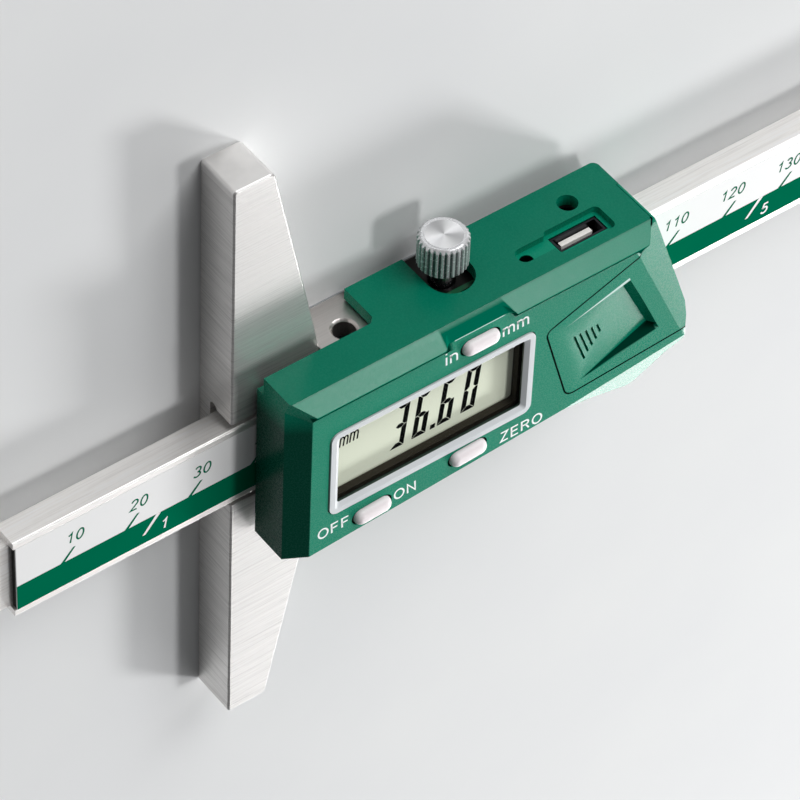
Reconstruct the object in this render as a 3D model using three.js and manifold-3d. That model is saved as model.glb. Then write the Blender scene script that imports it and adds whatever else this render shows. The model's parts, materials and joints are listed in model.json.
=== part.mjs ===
import * as THREE from 'three';
import { mergeVertices } from 'three/addons/utils/BufferGeometryUtils.js';
import { ConvexGeometry } from 'three/addons/geometries/ConvexGeometry.js';
import Module from 'manifold-3d';

// Digital depth gauge lying on its back with the display up. All sizes are in millimetres.
// +X runs along the beam away from its tip, +Y along the depth base, +Z out of the display.
// Levels are first measured from the back, on which the gauge rests. Each finished piece is then
// lowered so that the origin lies on the measuring face, halfway up the web behind the beam.

const wasm = await Module();
wasm.setup();

// Driving dimensions

const clearance = { sliding: 0.2, shim: 0.1, seat: 0.15, screw: 0.12, casing: 0.3, rim: 0.5 };
const overrun = 1;
const cutterReach = 400;
const facets = { screw: 20, round: 40, corner: 6, socket: 6 };

const base = {
  length: 102,
  thickness: 7.4,
  endWidth: 6.3,
  middleWidth: 14,
  middleLength: 30,
  cornerRadius: 1,
  edge: 0.25,
  slotDepth: 4.85,
  slotRoomBelow: 0.6,
  slotRoomAbove: 1,
  slotRelief: 0.7,
};

const beam = {
  height: 14.3,
  thickness: 4.2,
  reading: 36.6,
  tipLength: 2.5,
  tailLength: 190,
  rim: 1.15,
  channelDepth: 1,
  channelEnd: 8,
  edge: 0.2,
};

const scale = { boardThickness: 0.75, sideGap: 0.05, endGap: 0.4 };

const stop = { length: 6, height: 12, thickness: 1.8, screwPitch: 6 };

const plate = { thickness: 0.4, margin: 0.2 };

const frame = {
  floorStart: 0.4,
  upperArm: 6.15,
  lowerArm: 3.25,
  rise: 1.6,
  endInset: 3.3,
  chamfer: 0.75,
  tongueReach: 9.4,
  tongueHalf: 12,
  tongueThickness: 0.9,
  tongueScrewY: 10,
  tongueScrewInset: 5,
};

const gib = { thickness: 0.9, height: 3.4, inset: 1.5 };

const gibScrew = {
  inset: 4.6,
  radius: 1.5,
  length: 3.2,
  countersink: 0.35,
  socket: 0.75,
  socketDepth: 1.4,
};

const crossScrew = { head: 1.5, headHeight: 0.9, slotWidth: 0.5, slotDepth: 0.5 };

const clamp = {
  fromFrameStart: 20.5,
  stemRadius: 1.5,
  stemAboveFrame: 3.2,
  knobRadius: 3.55,
  knobHeight: 5.3,
  knobChamfer: 0.5,
  fluteCount: 28,
  fluteDepth: 0.3,
  dish: 0.12,
  belowFace: 0.9,
  pocketRadius: 3.5,
  pocketRise: 1.6,
};

const board = { thickness: 0.8, margin: 0.5, underside: 0.3, inset: 4.5 };

const sensor = { thickness: 0.8, start: 4, end: 14, half: 6.6, linkLength: 10, linkWidth: 2.4 };

const zebra = { height: 2, width: 1.6, length: 27, inset: 0.7 };

const lcd = { thickness: 1.7, inset: 0.2 };

const gasket = { thickness: 1.1 };

const pane = { thickness: 0.7 };

const bezel = {
  left: 6.2,
  length: 33.6,
  height: 15.75,
  centreY: -0.375,
  corner: 1.4,
  lip: 0.8,
  proud: 0.2,
  rimWidth: 0.9,
  slopeWidth: 0.65,
  slopeDrop: 0.45,
  innerCorner: 0.4,
  wall: 0.65,
};

const housing = {
  left: 3.65,
  land: 2,
  topWall: 1.9,
  wall: 1.2,
  faceWall: 1.6,
  back: 2.3,
  lowerRoom: 4,
  lowerRise: 2.5,
  leftBevelWidth: 3.16,
  leftBevelDrop: 1.9,
  backCorner: 1,
  lobeRadius: 2,
  notchEnd: 21.6,
  notchChamfer: 0.8,
  facetAngle: 15,
  sideFacetAngle: 5,
};

const ridge = { proud: 0.8, width: 3.2, topDrop: 0.7, footRun: 1.4, leftTipDrop: 0.9, leftRun: 3.37,
  leftFoot: 4.66, endAngle: 25 };

const scoop = { start: 24.75, length: 8.1, depth: 3.05, fall: 0.3, round: 0.5, leftSkew: 0.2,
  rightSkew: 0.65, endRadius: 1, fill: 2.4, margin: 1.2 };

const cover = {
  length: 25.05,
  thickness: 0.9,
  ledge: 0.8,
  gap: 0.12,
  skirtFoot: 7.5,
  corner: 1,
  lowerCorner: 1.6,
};

const thumb = { depth: 1.3, draft: 1, grow: 0.5, ribPitch: 1.07, ribLength: 6.1, ribAngle: 21,
  ribWidth: 0.36, ribDepth: 0.3, ribStart: 5.05, ribTop: 1.6, ribStep: 0.15 };

const button = {
  length: 6.4,
  width: 2.6,
  proud: 1,
  edge: 0.5,
  flange: 0.8,
  flangeWidth: 2.1,
  flangeThickness: 0.6,
  foot: 3,
  footWidth: 2,
  travel: 0.5,
  upperX: 24.2,
  upperY: 3.4,
  zeroY: 2.76,
  powerY: 2.3,
  powerX: 7.25,
  zeroX: 23.15,
};

const dome = { length: 4, width: 1.8, height: 1.6 };

const boss = { radius: 1.2, bore: 0.8, screw: 0.7, depth: 4, frontOffset: 14.75, rearOffset: 2.55,
  lowerInset: 0.9, upperInset: 3.1 };

const cell = { radius: 5.8, thickness: 5.4, x: 8.55, y: 0.4, base: 1.05 };

const cup = { wall: 0.8, floor: 0.4, gap: 0.2, aboveScale: 0.25, height: 4.7, flange: 1.2,
  flangeThickness: 0.6, slot: 2.6 };

const leaf = { thickness: 0.15, width: 2, sideThickness: 0.14, foot: 2.6, rise: 2.2 };

const port = {
  fromEnd: 9.65,
  length: 7.6,
  height: 2.65,
  depth: 4.8,
  wall: 0.3,
  tongueLength: 5.2,
  tongueThickness: 0.8,
  tongueReach: 3.6,
  tongueRise: 0.5,
  recess: 1,
  recessRight: 4.7,
  recessLeft: 4.65,
  recessTail: 5.4,
  recessCorner: 0.8,
  recessAbove: 1.1,
  recessBelow: 0.8,
  tailAbove: 1.3,
  tailBelow: 0.6,
  pegHole: 1,
  pegDepth: 1.2,
  pegFromCentre: 8.6,
};

// Corners as shares of the cover's length from its left corner and of the housing's upper edge

const coverCornerShares = [
  [0.701, 1], [0.615, 0.657], [0, 0.323], [0.174, -0.566], [0.96, -0.497], [1, -0.4935],
];
const rightSideShares = { top: 0.7126, shoulder: 0.982, shoulderY: -0.18, endY: -0.36, facetY: -0.593 };
const ribLengthShares = [1, 0.79, 0.65, 0.5, 0.31];
const thumbCornerShares = [[0.092, 0.257], [0.561, 0.443], [0.8, -0.323], [0.262, -0.46]];

// Lower edge as shares of the housing's length and of the rise of its lower edge
const lowerEdgeShares = [[0.683, 1], [0.764, 0.44], [0.882, -0.76], [0.954, 0.96], [1, 1.52]];

// Levels along Z and places along Y that follow from the driving dimensions

const frontZ = base.thickness;
const beamBack = frontZ - beam.thickness;
const beamEdge = beam.height / 2;
const channelHalf = beamEdge - beam.rim;
const channelFloor = frontZ - beam.channelDepth;
const tipX = -beam.reading;
const frameFloorTop = beamBack - clearance.sliding;
const frameTop = frontZ + frame.rise;
const upperInner = beamEdge + clearance.sliding + gib.thickness + clearance.shim;
const upperOuter = upperInner + frame.upperArm;
const lowerInner = -beamEdge - clearance.sliding;
const lowerOuter = lowerInner - frame.lowerArm;
const screwZ = frontZ - clamp.belowFace;
const slotFloor = base.thickness - base.slotDepth;
const boardTop = frameTop + board.thickness;
const lcdBottom = boardTop + zebra.height;
const lcdTop = lcdBottom + lcd.thickness;
const paneBottom = lcdTop + gasket.thickness;
const paneTop = paneBottom + pane.thickness;
const bezelTop = paneTop + bezel.lip;
const faceZ = bezelTop - bezel.proud;
const ceilingZ = faceZ - housing.faceWall;
const topY = upperOuter + clearance.casing + housing.topWall;
const innerTopY = upperOuter + clearance.casing;
const bottomY = lowerOuter - housing.lowerRoom;
const bezelLeft = housing.left + bezel.left;
const bezelRight = bezelLeft + bezel.length;
const bezelLow = bezel.centreY - bezel.height / 2;
const bezelHigh = bezel.centreY + bezel.height / 2;
const coverLeft = bezelRight + housing.land;
const rightTop = coverLeft + cover.length * rightSideShares.top;
const rightEnd = coverLeft + cover.length;
const housingLength = rightEnd - housing.left;
const frameStart = base.middleWidth;
const frameEnd = rightTop - frame.endInset;
const ridgeTop = faceZ + ridge.proud;
const clampX = frameStart + clamp.fromFrameStart;
const portX = rightTop - port.fromEnd;

// Solids from three.js geometry, joined and cut

function toSolid(geometry) {
  const bare = new THREE.BufferGeometry();
  bare.setAttribute('position', geometry.getAttribute('position'));
  bare.setIndex(geometry.getIndex());
  const merged = mergeVertices(bare);
  const index = merged.getIndex().array;
  const faces = [];
  for (let i = 0; i < index.length; i += 3) {
    const [a, b, c] = [index[i], index[i + 1], index[i + 2]];
    if (a !== b && b !== c && c !== a) faces.push(a, b, c);
  }
  return new wasm.Manifold(new wasm.Mesh({
    numProp: 3,
    vertProperties: new Float32Array(merged.getAttribute('position').array),
    triVerts: new Uint32Array(faces),
  }));
}

function toGeometry(solid) {
  const mesh = solid.getMesh();
  const geometry = new THREE.BufferGeometry();
  geometry.setAttribute('position', new THREE.BufferAttribute(new Float32Array(mesh.vertProperties), 3));
  geometry.setIndex(new THREE.BufferAttribute(new Uint32Array(mesh.triVerts), 1));
  geometry.computeVertexNormals();
  return geometry;
}

function join(...solids) {
  return solids.reduce((whole, solid) => whole.add(solid));
}

function cut(solid, ...tools) {
  return tools.reduce((rest, tool) => rest.subtract(tool), solid);
}

function block([x0, x1], [y0, y1], [z0, z1]) {
  const geometry = new THREE.BoxGeometry(x1 - x0, y1 - y0, z1 - z0);
  return toSolid(geometry.translate((x0 + x1) / 2, (y0 + y1) / 2, (z0 + z1) / 2));
}

const bases = {
  x: new THREE.Matrix4().makeBasis(
    new THREE.Vector3(0, 1, 0), new THREE.Vector3(0, 0, 1), new THREE.Vector3(1, 0, 0)),
  y: new THREE.Matrix4().makeBasis(
    new THREE.Vector3(0, 0, 1), new THREE.Vector3(1, 0, 0), new THREE.Vector3(0, 1, 0)),
  z: new THREE.Matrix4(),
};

// An outline swept along an axis: (y, z) points along x, (z, x) points along y, (x, y) points along z
function prism(axis, points, [low, high], bevel = 0) {
  const shape = new THREE.Shape(points.map(([a, b]) => new THREE.Vector2(a, b)));
  const geometry = new THREE.ExtrudeGeometry(shape, {
    depth: high - low - 2 * bevel,
    bevelEnabled: bevel > 0,
    bevelSize: bevel,
    bevelThickness: bevel,
    bevelOffset: -bevel,
    bevelSegments: 1,
    steps: 1,
  });
  geometry.translate(0, 0, low + bevel);
  geometry.applyMatrix4(bases[axis]);
  return toSolid(geometry);
}

// A round body between two points
function rod(radius, from, to, sides = facets.screw) {
  const start = new THREE.Vector3(...from);
  const along = new THREE.Vector3(...to).sub(start);
  const geometry = new THREE.CylinderGeometry(radius, radius, along.length(), sides);
  geometry.translate(0, along.length() / 2, 0);
  const turn = new THREE.Quaternion().setFromUnitVectors(new THREE.Vector3(0, 1, 0), along.normalize());
  geometry.applyQuaternion(turn);
  return toSolid(geometry.translate(start.x, start.y, start.z));
}

// A turned body: (radius, distance) points, measured from a point along a direction
function turned(profile, from, direction, sides = facets.screw) {
  const points = profile.map(([radius, distance]) => new THREE.Vector2(radius, distance));
  const geometry = new THREE.LatheGeometry(points, sides);
  const along = new THREE.Vector3(...direction).normalize();
  const turn = new THREE.Quaternion().setFromUnitVectors(new THREE.Vector3(0, 1, 0), along);
  geometry.applyQuaternion(turn);
  return toSolid(geometry.translate(...from));
}

// Everything above a plane through a point, where normal points out of the material that stays
function beyond(point, normal) {
  const geometry = new THREE.BoxGeometry(cutterReach, cutterReach, cutterReach);
  geometry.translate(0, 0, cutterReach / 2);
  const up = new THREE.Vector3(...normal).normalize();
  geometry.applyQuaternion(new THREE.Quaternion().setFromUnitVectors(new THREE.Vector3(0, 0, 1), up));
  return toSolid(geometry.translate(...point));
}

// Corners given as [a, b, radius]: each with a radius is rounded
function rounded(corners) {
  const points = [];
  corners.forEach(([x, y, radius], i) => {
    if (!radius) {
      points.push([x, y]);
      return;
    }
    const here = new THREE.Vector2(x, y);
    const before = corners[(i + corners.length - 1) % corners.length];
    const after = corners[(i + 1) % corners.length];
    const back = new THREE.Vector2(before[0], before[1]).sub(here).normalize();
    const ahead = new THREE.Vector2(after[0], after[1]).sub(here).normalize();
    const half = Math.acos(THREE.MathUtils.clamp(back.dot(ahead), -1, 1)) / 2;
    const reach = radius / Math.tan(half);
    const centre = back.clone().add(ahead).normalize().multiplyScalar(radius / Math.sin(half)).add(here);
    const start = here.clone().addScaledVector(back, reach).sub(centre);
    const sweep = Math.PI - 2 * half;
    const side = Math.sign(back.x * ahead.y - back.y * ahead.x);
    for (let step = 0; step <= facets.corner; step += 1) {
      const angle = -side * sweep * (step / facets.corner);
      const spoke = start.clone().rotateAround(new THREE.Vector2(), angle).add(centre);
      points.push([spoke.x, spoke.y]);
    }
  });
  return points;
}

function rectangle([x0, x1], [y0, y1], radius = 0) {
  return rounded([[x0, y0, radius], [x1, y0, radius], [x1, y1, radius], [x0, y1, radius]]);
}

// Moves each side of an outline that runs anticlockwise inwards by its own distance
function inset(points, distance) {
  const distanceOf = typeof distance === 'number' ? () => distance : distance;
  const sides = points.map((point, i) => {
    const start = new THREE.Vector2(...point);
    const end = new THREE.Vector2(...points[(i + 1) % points.length]);
    const along = end.sub(start).normalize();
    const inward = new THREE.Vector2(-along.y, along.x);
    return { start: start.addScaledVector(inward, distanceOf(i)), along };
  });
  return sides.map((side, i) => {
    const previous = sides[(i + sides.length - 1) % sides.length];
    const gap = side.start.clone().sub(previous.start);
    const across = previous.along.x * side.along.y - previous.along.y * side.along.x;
    if (Math.abs(across) < Number.EPSILON ** 0.5) return [side.start.x, side.start.y];
    const travel = (gap.x * side.along.y - gap.y * side.along.x) / across;
    const corner = previous.start.clone().addScaledVector(previous.along, travel);
    return [corner.x, corner.y];
  });
}

const group = new THREE.Group();
group.name = 'depth_gauge';

const finishes = {
  baseSteel: { color: 0xdcdcdb, roughness: 0.32, metalness: 1 },
  beamSteel: { color: 0xd6d4d2, roughness: 0.3, metalness: 1 },
  frameSteel: { color: 0xd9d4d2, roughness: 0.34, metalness: 1 },
  screwSteel: { color: 0xb9bbc0, roughness: 0.28, metalness: 1 },
  knobSteel: { color: 0xc6c7cd, roughness: 0.25, metalness: 1 },
  brass: { color: 0xc9a24e, roughness: 0.35, metalness: 1 },
  greenPlastic: { color: 0x057a62, roughness: 0.45, metalness: 0 },
  silverPlastic: { color: 0xd3d6e2, roughness: 0.35, metalness: 0.3 },
  blackRubber: { color: 0x15171a, roughness: 0.7, metalness: 0 },
  clearPlastic: { color: 0xf2f6f2, roughness: 0.05, metalness: 0, transparent: true, opacity: 0.25 },
  displayGlass: { color: 0xe3e9d6, roughness: 0.2, metalness: 0 },
  whitePlastic: { color: 0xf3ecee, roughness: 0.4, metalness: 0 },
  circuitBoard: { color: 0x0f5a36, roughness: 0.5, metalness: 0 },
  scaleBoard: { color: 0x1c1d1b, roughness: 0.6, metalness: 0 },
  label: { color: 0xfafafa, roughness: 0.4, metalness: 0 },
  backLabel: { color: 0xa9acae, roughness: 0.4, metalness: 0.8 },
  cellSteel: { color: 0xcdd0d3, roughness: 0.25, metalness: 1 },
};

function add(name, solid, finish) {
  const placed = toGeometry(solid).translate(0, 0, -slotFloor / 2);
  const mesh = new THREE.Mesh(placed, new THREE.MeshStandardMaterial(finishes[finish]));
  mesh.name = name;
  group.add(mesh);
}

// Screws

const countersunkCone = clearance.screw + crossScrew.head;

// A countersunk cross-head screw that points along +Z with its head face at the given point
function countersunkScrew([x, y, z], shank, length) {
  const body = turned(
    [[0, 0], [crossScrew.head, 0], [shank, crossScrew.headHeight], [shank, length], [0, length]],
    [x, y, z], [0, 0, 1]);
  const half = crossScrew.slotWidth / 2;
  const reach = crossScrew.head - crossScrew.slotWidth;
  const slotZ = [z - overrun, z + crossScrew.slotDepth];
  return cut(body,
    block([x - reach, x + reach], [y - half, y + half], slotZ),
    block([x - half, x + half], [y - reach, y + reach], slotZ));
}

// The hole for such a screw, down to a given depth
function countersunkHole([x, y, z], shank, length) {
  const bore = shank + clearance.screw;
  return turned(
    [[0, -overrun], [countersunkCone, -overrun], [countersunkCone, 0],
      [bore, crossScrew.headHeight + clearance.screw], [bore, length], [0, length]],
    [x, y, z], [0, 0, 1]);
}

// Beam with its scale and rear stop

const channelEndX = beam.tailLength - beam.channelEnd;
const stopStart = beam.tailLength - stop.length;
const stopScrews = [-1, 1].map((side) => [
  beam.tailLength - stop.length / 2, side * stop.screwPitch / 2, beamBack - stop.thickness]);
const stopScrewLength = stop.thickness + beam.thickness / 2;

function beamSection(half, low, high) {
  const corners = [[-half, low], [half, low], [half, high], [-half, high]];
  return inset(corners, 0).flatMap(([y, z]) => {
    const inY = Math.sign(y) * (Math.abs(y) - beam.edge);
    const inZ = z === low ? z + beam.edge : z - beam.edge;
    const first = z === low ? [[y, inZ], [inY, z]] : [[inY, z], [y, inZ]];
    return y > 0 ? first.reverse() : first;
  });
}

function makeBeam() {
  const body = prism('x', beamSection(beamEdge, beamBack, frontZ),
    [tipX + beam.tipLength, beam.tailLength]);
  const blade = prism('x', beamSection(channelHalf, beamBack, channelFloor), [tipX, beam.tailLength / 2]);
  const channel = block([tipX, channelEndX], [-channelHalf, channelHalf], [channelFloor, frontZ + overrun]);
  const holeLength = stopScrewLength + clearance.screw;
  const holes = stopScrews.map((point) => countersunkHole(point, boss.screw, holeLength));
  return cut(join(cut(body, channel), blade), ...holes);
}

function makeScaleStrip(low, high) {
  const half = channelHalf - scale.sideGap;
  const ends = [tipX + beam.tipLength + scale.endGap, channelEndX - scale.endGap];
  return block(ends, [-half, half], [low, high]);
}

function makeEndStop() {
  const half = stop.height / 2;
  const body = block([stopStart, beam.tailLength], [-half, half], [beamBack - stop.thickness, beamBack]);
  return cut(body, ...stopScrews.map((point) => countersunkHole(point, boss.screw, stopScrewLength)));
}

add('beam', makeBeam(), 'beamSteel');
add('scale_board', makeScaleStrip(channelFloor, channelFloor + scale.boardThickness), 'scaleBoard');
add('scale_label', makeScaleStrip(channelFloor + scale.boardThickness, frontZ), 'label');
add('end_stop', makeEndStop(), 'brass');
stopScrews.forEach((point, i) => {
  add(`end_stop_screw_${i + 1}`, countersunkScrew(point, boss.screw, stopScrewLength), 'screwSteel');
});

// Depth base

const tongueScrews = [-1, 1].map((side) => [
  frameStart - frame.tongueScrewInset, side * frame.tongueScrewY, frame.floorStart]);
const tongueScrewLength = base.thickness - 2 * frame.floorStart;

function makeBase() {
  const half = base.length / 2;
  const middle = base.middleLength / 2;
  const outline = rounded([
    [0, -half, base.cornerRadius / 2], [base.endWidth, -half, base.cornerRadius],
    [base.middleWidth, -middle], [base.middleWidth, middle],
    [base.endWidth, half, base.cornerRadius], [0, half, base.cornerRadius / 2]]);
  const body = prism('z', outline, [0, base.thickness], base.edge);
  const wide = [-overrun, base.middleWidth + overrun];
  const slotY = [-beamEdge - base.slotRoomBelow, beamEdge + base.slotRoomAbove];
  const slot = block(wide, slotY, [slotFloor, base.thickness + overrun]);
  const reliefs = slotY.map((y) => rod(base.slotRelief, [wide[0], y, slotFloor + base.slotRelief],
    [wide[1], y, slotFloor + base.slotRelief]));
  const pocketHalf = frame.tongueHalf + clearance.seat;
  const pocket = block([frameStart - frame.tongueReach - clearance.seat, wide[1]],
    [-pocketHalf, pocketHalf], [-overrun, frame.floorStart + frame.tongueThickness]);
  const holes = tongueScrews.map((point) => rod(boss.screw + clearance.screw,
    point, [point[0], point[1], point[2] + tongueScrewLength + clearance.screw]));
  return cut(body, slot, ...reliefs, pocket, ...holes);
}

add('depth_base', makeBase(), 'baseSteel');

// Slider frame, gib and their screws

const gibScrewX = [frameStart + gibScrew.inset, frameEnd - gibScrew.inset];
const rearBossX = bezelRight + boss.rearOffset;
const bossPlaces = [bezelLeft + boss.frontOffset, rearBossX].flatMap((x) => [
  [x, upperOuter - boss.upperInset], [x, lowerOuter + boss.lowerInset]]);

function makeFrame() {
  const xs = [frameStart, frameEnd];
  const section = [
    [lowerOuter, frame.floorStart], [upperOuter - frame.chamfer, frame.floorStart],
    [upperOuter, frame.floorStart + frame.chamfer], [upperOuter, frameTop],
    [upperInner, frameTop], [upperInner, frameFloorTop],
    [lowerInner, frameFloorTop], [lowerInner, frameTop], [lowerOuter, frameTop]];
  const tongue = block([frameStart - frame.tongueReach, frameStart + overrun],
    [-frame.tongueHalf, frame.tongueHalf], [frame.floorStart, frame.floorStart + frame.tongueThickness]);
  const corner = block([frameStart, frameStart + overrun],
    [-frame.tongueHalf, lowerOuter], [frame.floorStart, frame.floorStart + frame.tongueThickness]);
  const holes = [
    ...tongueScrews.map((point) => countersunkHole(point, boss.screw, tongueScrewLength)),
    ...bossPlaces.map(([x, y]) => countersunkHole([x, y, frame.floorStart],
      boss.screw, frameTop + overrun)),
    ...[...gibScrewX, clampX].map((x) => turned(
      [[0, -overrun], [gibScrew.radius + clearance.screw, -overrun],
        [gibScrew.radius + clearance.screw, frame.upperArm - gibScrew.countersink],
        [gibScrew.radius + clearance.screw + gibScrew.countersink, frame.upperArm],
        [gibScrew.radius + clearance.screw + gibScrew.countersink, frame.upperArm + overrun],
        [0, frame.upperArm + overrun]],
      [x, upperInner, screwZ], [0, 1, 0])),
  ];
  return cut(join(prism('x', section, xs), tongue, corner), ...holes);
}

function makeGib() {
  const low = beamEdge + clearance.sliding;
  return block([frameStart + gib.inset, frameEnd - gib.inset], [low, low + gib.thickness],
    [frontZ - clamp.belowFace - gib.height / 2, frontZ - clamp.belowFace + gib.height / 2]);
}

function makeGibScrew(x) {
  const body = rod(gibScrew.radius, [x, upperInner, screwZ], [x, upperInner + gibScrew.length, screwZ]);
  const end = upperInner + gibScrew.length;
  const socket = rod(gibScrew.socket,
    [x, end - gibScrew.socketDepth, screwZ], [x, end + overrun, screwZ], facets.socket);
  return cut(body, socket);
}

add('slider_frame', makeFrame(), 'frameSteel');
add('gib_strip', makeGib(), 'brass');
add('gib_screw_front', makeGibScrew(gibScrewX[0]), 'screwSteel');
add('gib_screw_rear', makeGibScrew(gibScrewX[1]), 'screwSteel');
tongueScrews.forEach((point, i) => {
  add(`base_screw_${i + 1}`, countersunkScrew(point, boss.screw, tongueScrewLength), 'screwSteel');
});
add('back_plate', block([frameStart + plate.margin, frameEnd - plate.margin],
  [lowerOuter + plate.margin, upperOuter - frame.chamfer - plate.margin],
  [frame.floorStart - plate.thickness, frame.floorStart]), 'backLabel');

// Clamp screw

const knobStart = upperOuter + clamp.stemAboveFrame;

function makeClampStem() {
  return rod(clamp.stemRadius, [clampX, upperInner, screwZ], [clampX, knobStart, screwZ]);
}

function makeClampKnob() {
  const step = (2 * Math.PI) / clamp.fluteCount;
  const outline = [];
  const fluteShares = [0.15, 0.35, 0.65, 0.85];
  for (let i = 0; i < clamp.fluteCount; i += 1) {
    fluteShares.forEach((share, corner) => {
      const inner = corner === 1 || corner === 2 ? clamp.fluteDepth : 0;
      const radius = clamp.knobRadius - inner;
      const angle = (i + share) * step;
      outline.push([screwZ + radius * Math.cos(angle), clampX + radius * Math.sin(angle)]);
    });
  }
  const knobEnd = knobStart + clamp.knobHeight;
  const body = prism('y', outline, [knobStart, knobEnd]);
  const rim = clamp.knobRadius - clamp.knobChamfer;
  const envelope = turned(
    [[0, 0], [rim, 0], [clamp.knobRadius, clamp.knobChamfer],
      [clamp.knobRadius, clamp.knobHeight - clamp.knobChamfer], [rim, clamp.knobHeight],
      [rim - clamp.knobChamfer, clamp.knobHeight - clamp.dish], [0, clamp.knobHeight - clamp.dish]],
    [clampX, knobStart, screwZ], [0, 1, 0], facets.round);
  return body.intersect(envelope);
}

add('clamp_stem', makeClampStem(), 'screwSteel');
add('clamp_knob', makeClampKnob(), 'knobSteel');

// Housing outline and outer form

const lowerEdge = lowerEdgeShares.map(([along, rise]) => [
  housing.left + along * housingLength, bottomY + rise * housing.lowerRise]);
const lobe = lowerEdge.reduce((lowest, point) => (point[1] < lowest[1] ? point : lowest));
const housingCorners = [
  [housing.left, bottomY],
  ...lowerEdge.map((point) => (point === lobe ? [...point, housing.lobeRadius] : point)),
  [rightEnd, topY * rightSideShares.endY],
  [coverLeft + cover.length * rightSideShares.shoulder, topY * rightSideShares.shoulderY],
  [rightTop, topY],
  [housing.left, topY],
];
const housingOutline = rounded(housingCorners);
const lastSide = housingOutline.length - 2;
const innerOutline = inset(housingOutline, (i) => (i === lastSide ? housing.topWall : housing.wall));

const coverCorners = coverCornerShares.map(([along, up]) => [coverLeft + along * cover.length, topY * up]);
const [coverTop, coverBend, coverCorner, coverFoot, coverHeel, coverLast] = coverCorners;
const shoulder = [coverLeft + cover.length * rightSideShares.shoulder, topY * rightSideShares.shoulderY];

// The cover's outline runs past the housing's right side, which trims it
function coverOutline(grow) {
  const pastSide = housing.topWall;
  const corners = [
    coverTop, coverBend, [...coverCorner, cover.corner], [...coverFoot, cover.lowerCorner],
    coverHeel, coverLast,
    [coverLast[0] + pastSide, coverLast[1]], [shoulder[0] + pastSide, shoulder[1]],
    [rightTop + pastSide, topY], [rightTop + pastSide, topY + pastSide], [coverTop[0], topY + pastSide]];
  return inset(rounded(corners), -grow);
}

// A face that falls away beyond the line from one point to another
function facetBeyond([x0, y0], [x1, y1], angle) {
  const along = new THREE.Vector2(x1 - x0, y1 - y0).normalize();
  const fall = THREE.MathUtils.degToRad(angle);
  const outward = [along.y * Math.sin(fall), -along.x * Math.sin(fall), Math.cos(fall)];
  return beyond([x0, y0, faceZ], outward);
}

// A body through sections of equal counts of (x, y, z) points, each fanned from its last point
function loft(sections) {
  const count = sections[0].length;
  const faces = [];
  for (let i = 0; i + 1 < sections.length; i += 1) {
    for (let k = 0; k < count; k += 1) {
      const next = (k + 1) % count;
      const [a, b] = [i * count + k, i * count + next];
      faces.push(a, b, b + count, a, b + count, a + count);
    }
  }
  const end = (sections.length - 1) * count;
  for (let k = 0; k + 2 < count; k += 1) {
    faces.push(count - 1, k + 1, k, end + count - 1, end + k, end + k + 1);
  }
  const geometry = new THREE.BufferGeometry();
  geometry.setAttribute('position', new THREE.Float32BufferAttribute(sections.flat(2), 3));
  geometry.setIndex(faces);
  return toSolid(geometry);
}

// One section of the scoop: level on the inside, a slight fall and a rounded upper edge
function scoopSection(x, skew, lift) {
  const inner = topY - ridge.width - 2 * ridge.footRun;
  const level = faceZ + lift;
  const front = topY - scoop.depth;
  const edge = Array.from({ length: facets.corner + 1 }, (unused, i) => {
    const angle = (Math.PI / 2) * (i / facets.corner);
    const y = topY - scoop.round * (1 - Math.sin(angle));
    const fall = (scoop.fall * (y - front)) / scoop.depth;
    return [y, level - fall - scoop.round * (1 - Math.cos(angle))];
  });
  const [, lowest] = edge[edge.length - 1];
  const top = ridgeTop + overrun;
  const outline = [[inner, top], [inner, level], [front, level], ...edge, [topY + overrun, lowest],
    [topY + overrun, top]];
  return outline.map(([y, z]) => [x + skew * (topY - y), y, z]);
}

// The scoop above the upper button interrupts the ridge, and its ends rise in a quarter round
function makeScoop() {
  const start = housing.left + scoop.start;
  const rises = Array.from({ length: facets.corner + 1 }, (unused, i) => {
    const angle = (Math.PI / 2) * (i / facets.corner);
    return [scoop.endRadius * Math.sin(angle), scoop.endRadius * (1 - Math.cos(angle))];
  });
  const left = rises.map(([out, lift]) => scoopSection(start - out, scoop.leftSkew, lift)).reverse();
  const right = rises.map(([out, lift]) => scoopSection(
    start + scoop.length + out, scoop.rightSkew, lift));
  return loft([...left, ...right]);
}

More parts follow.
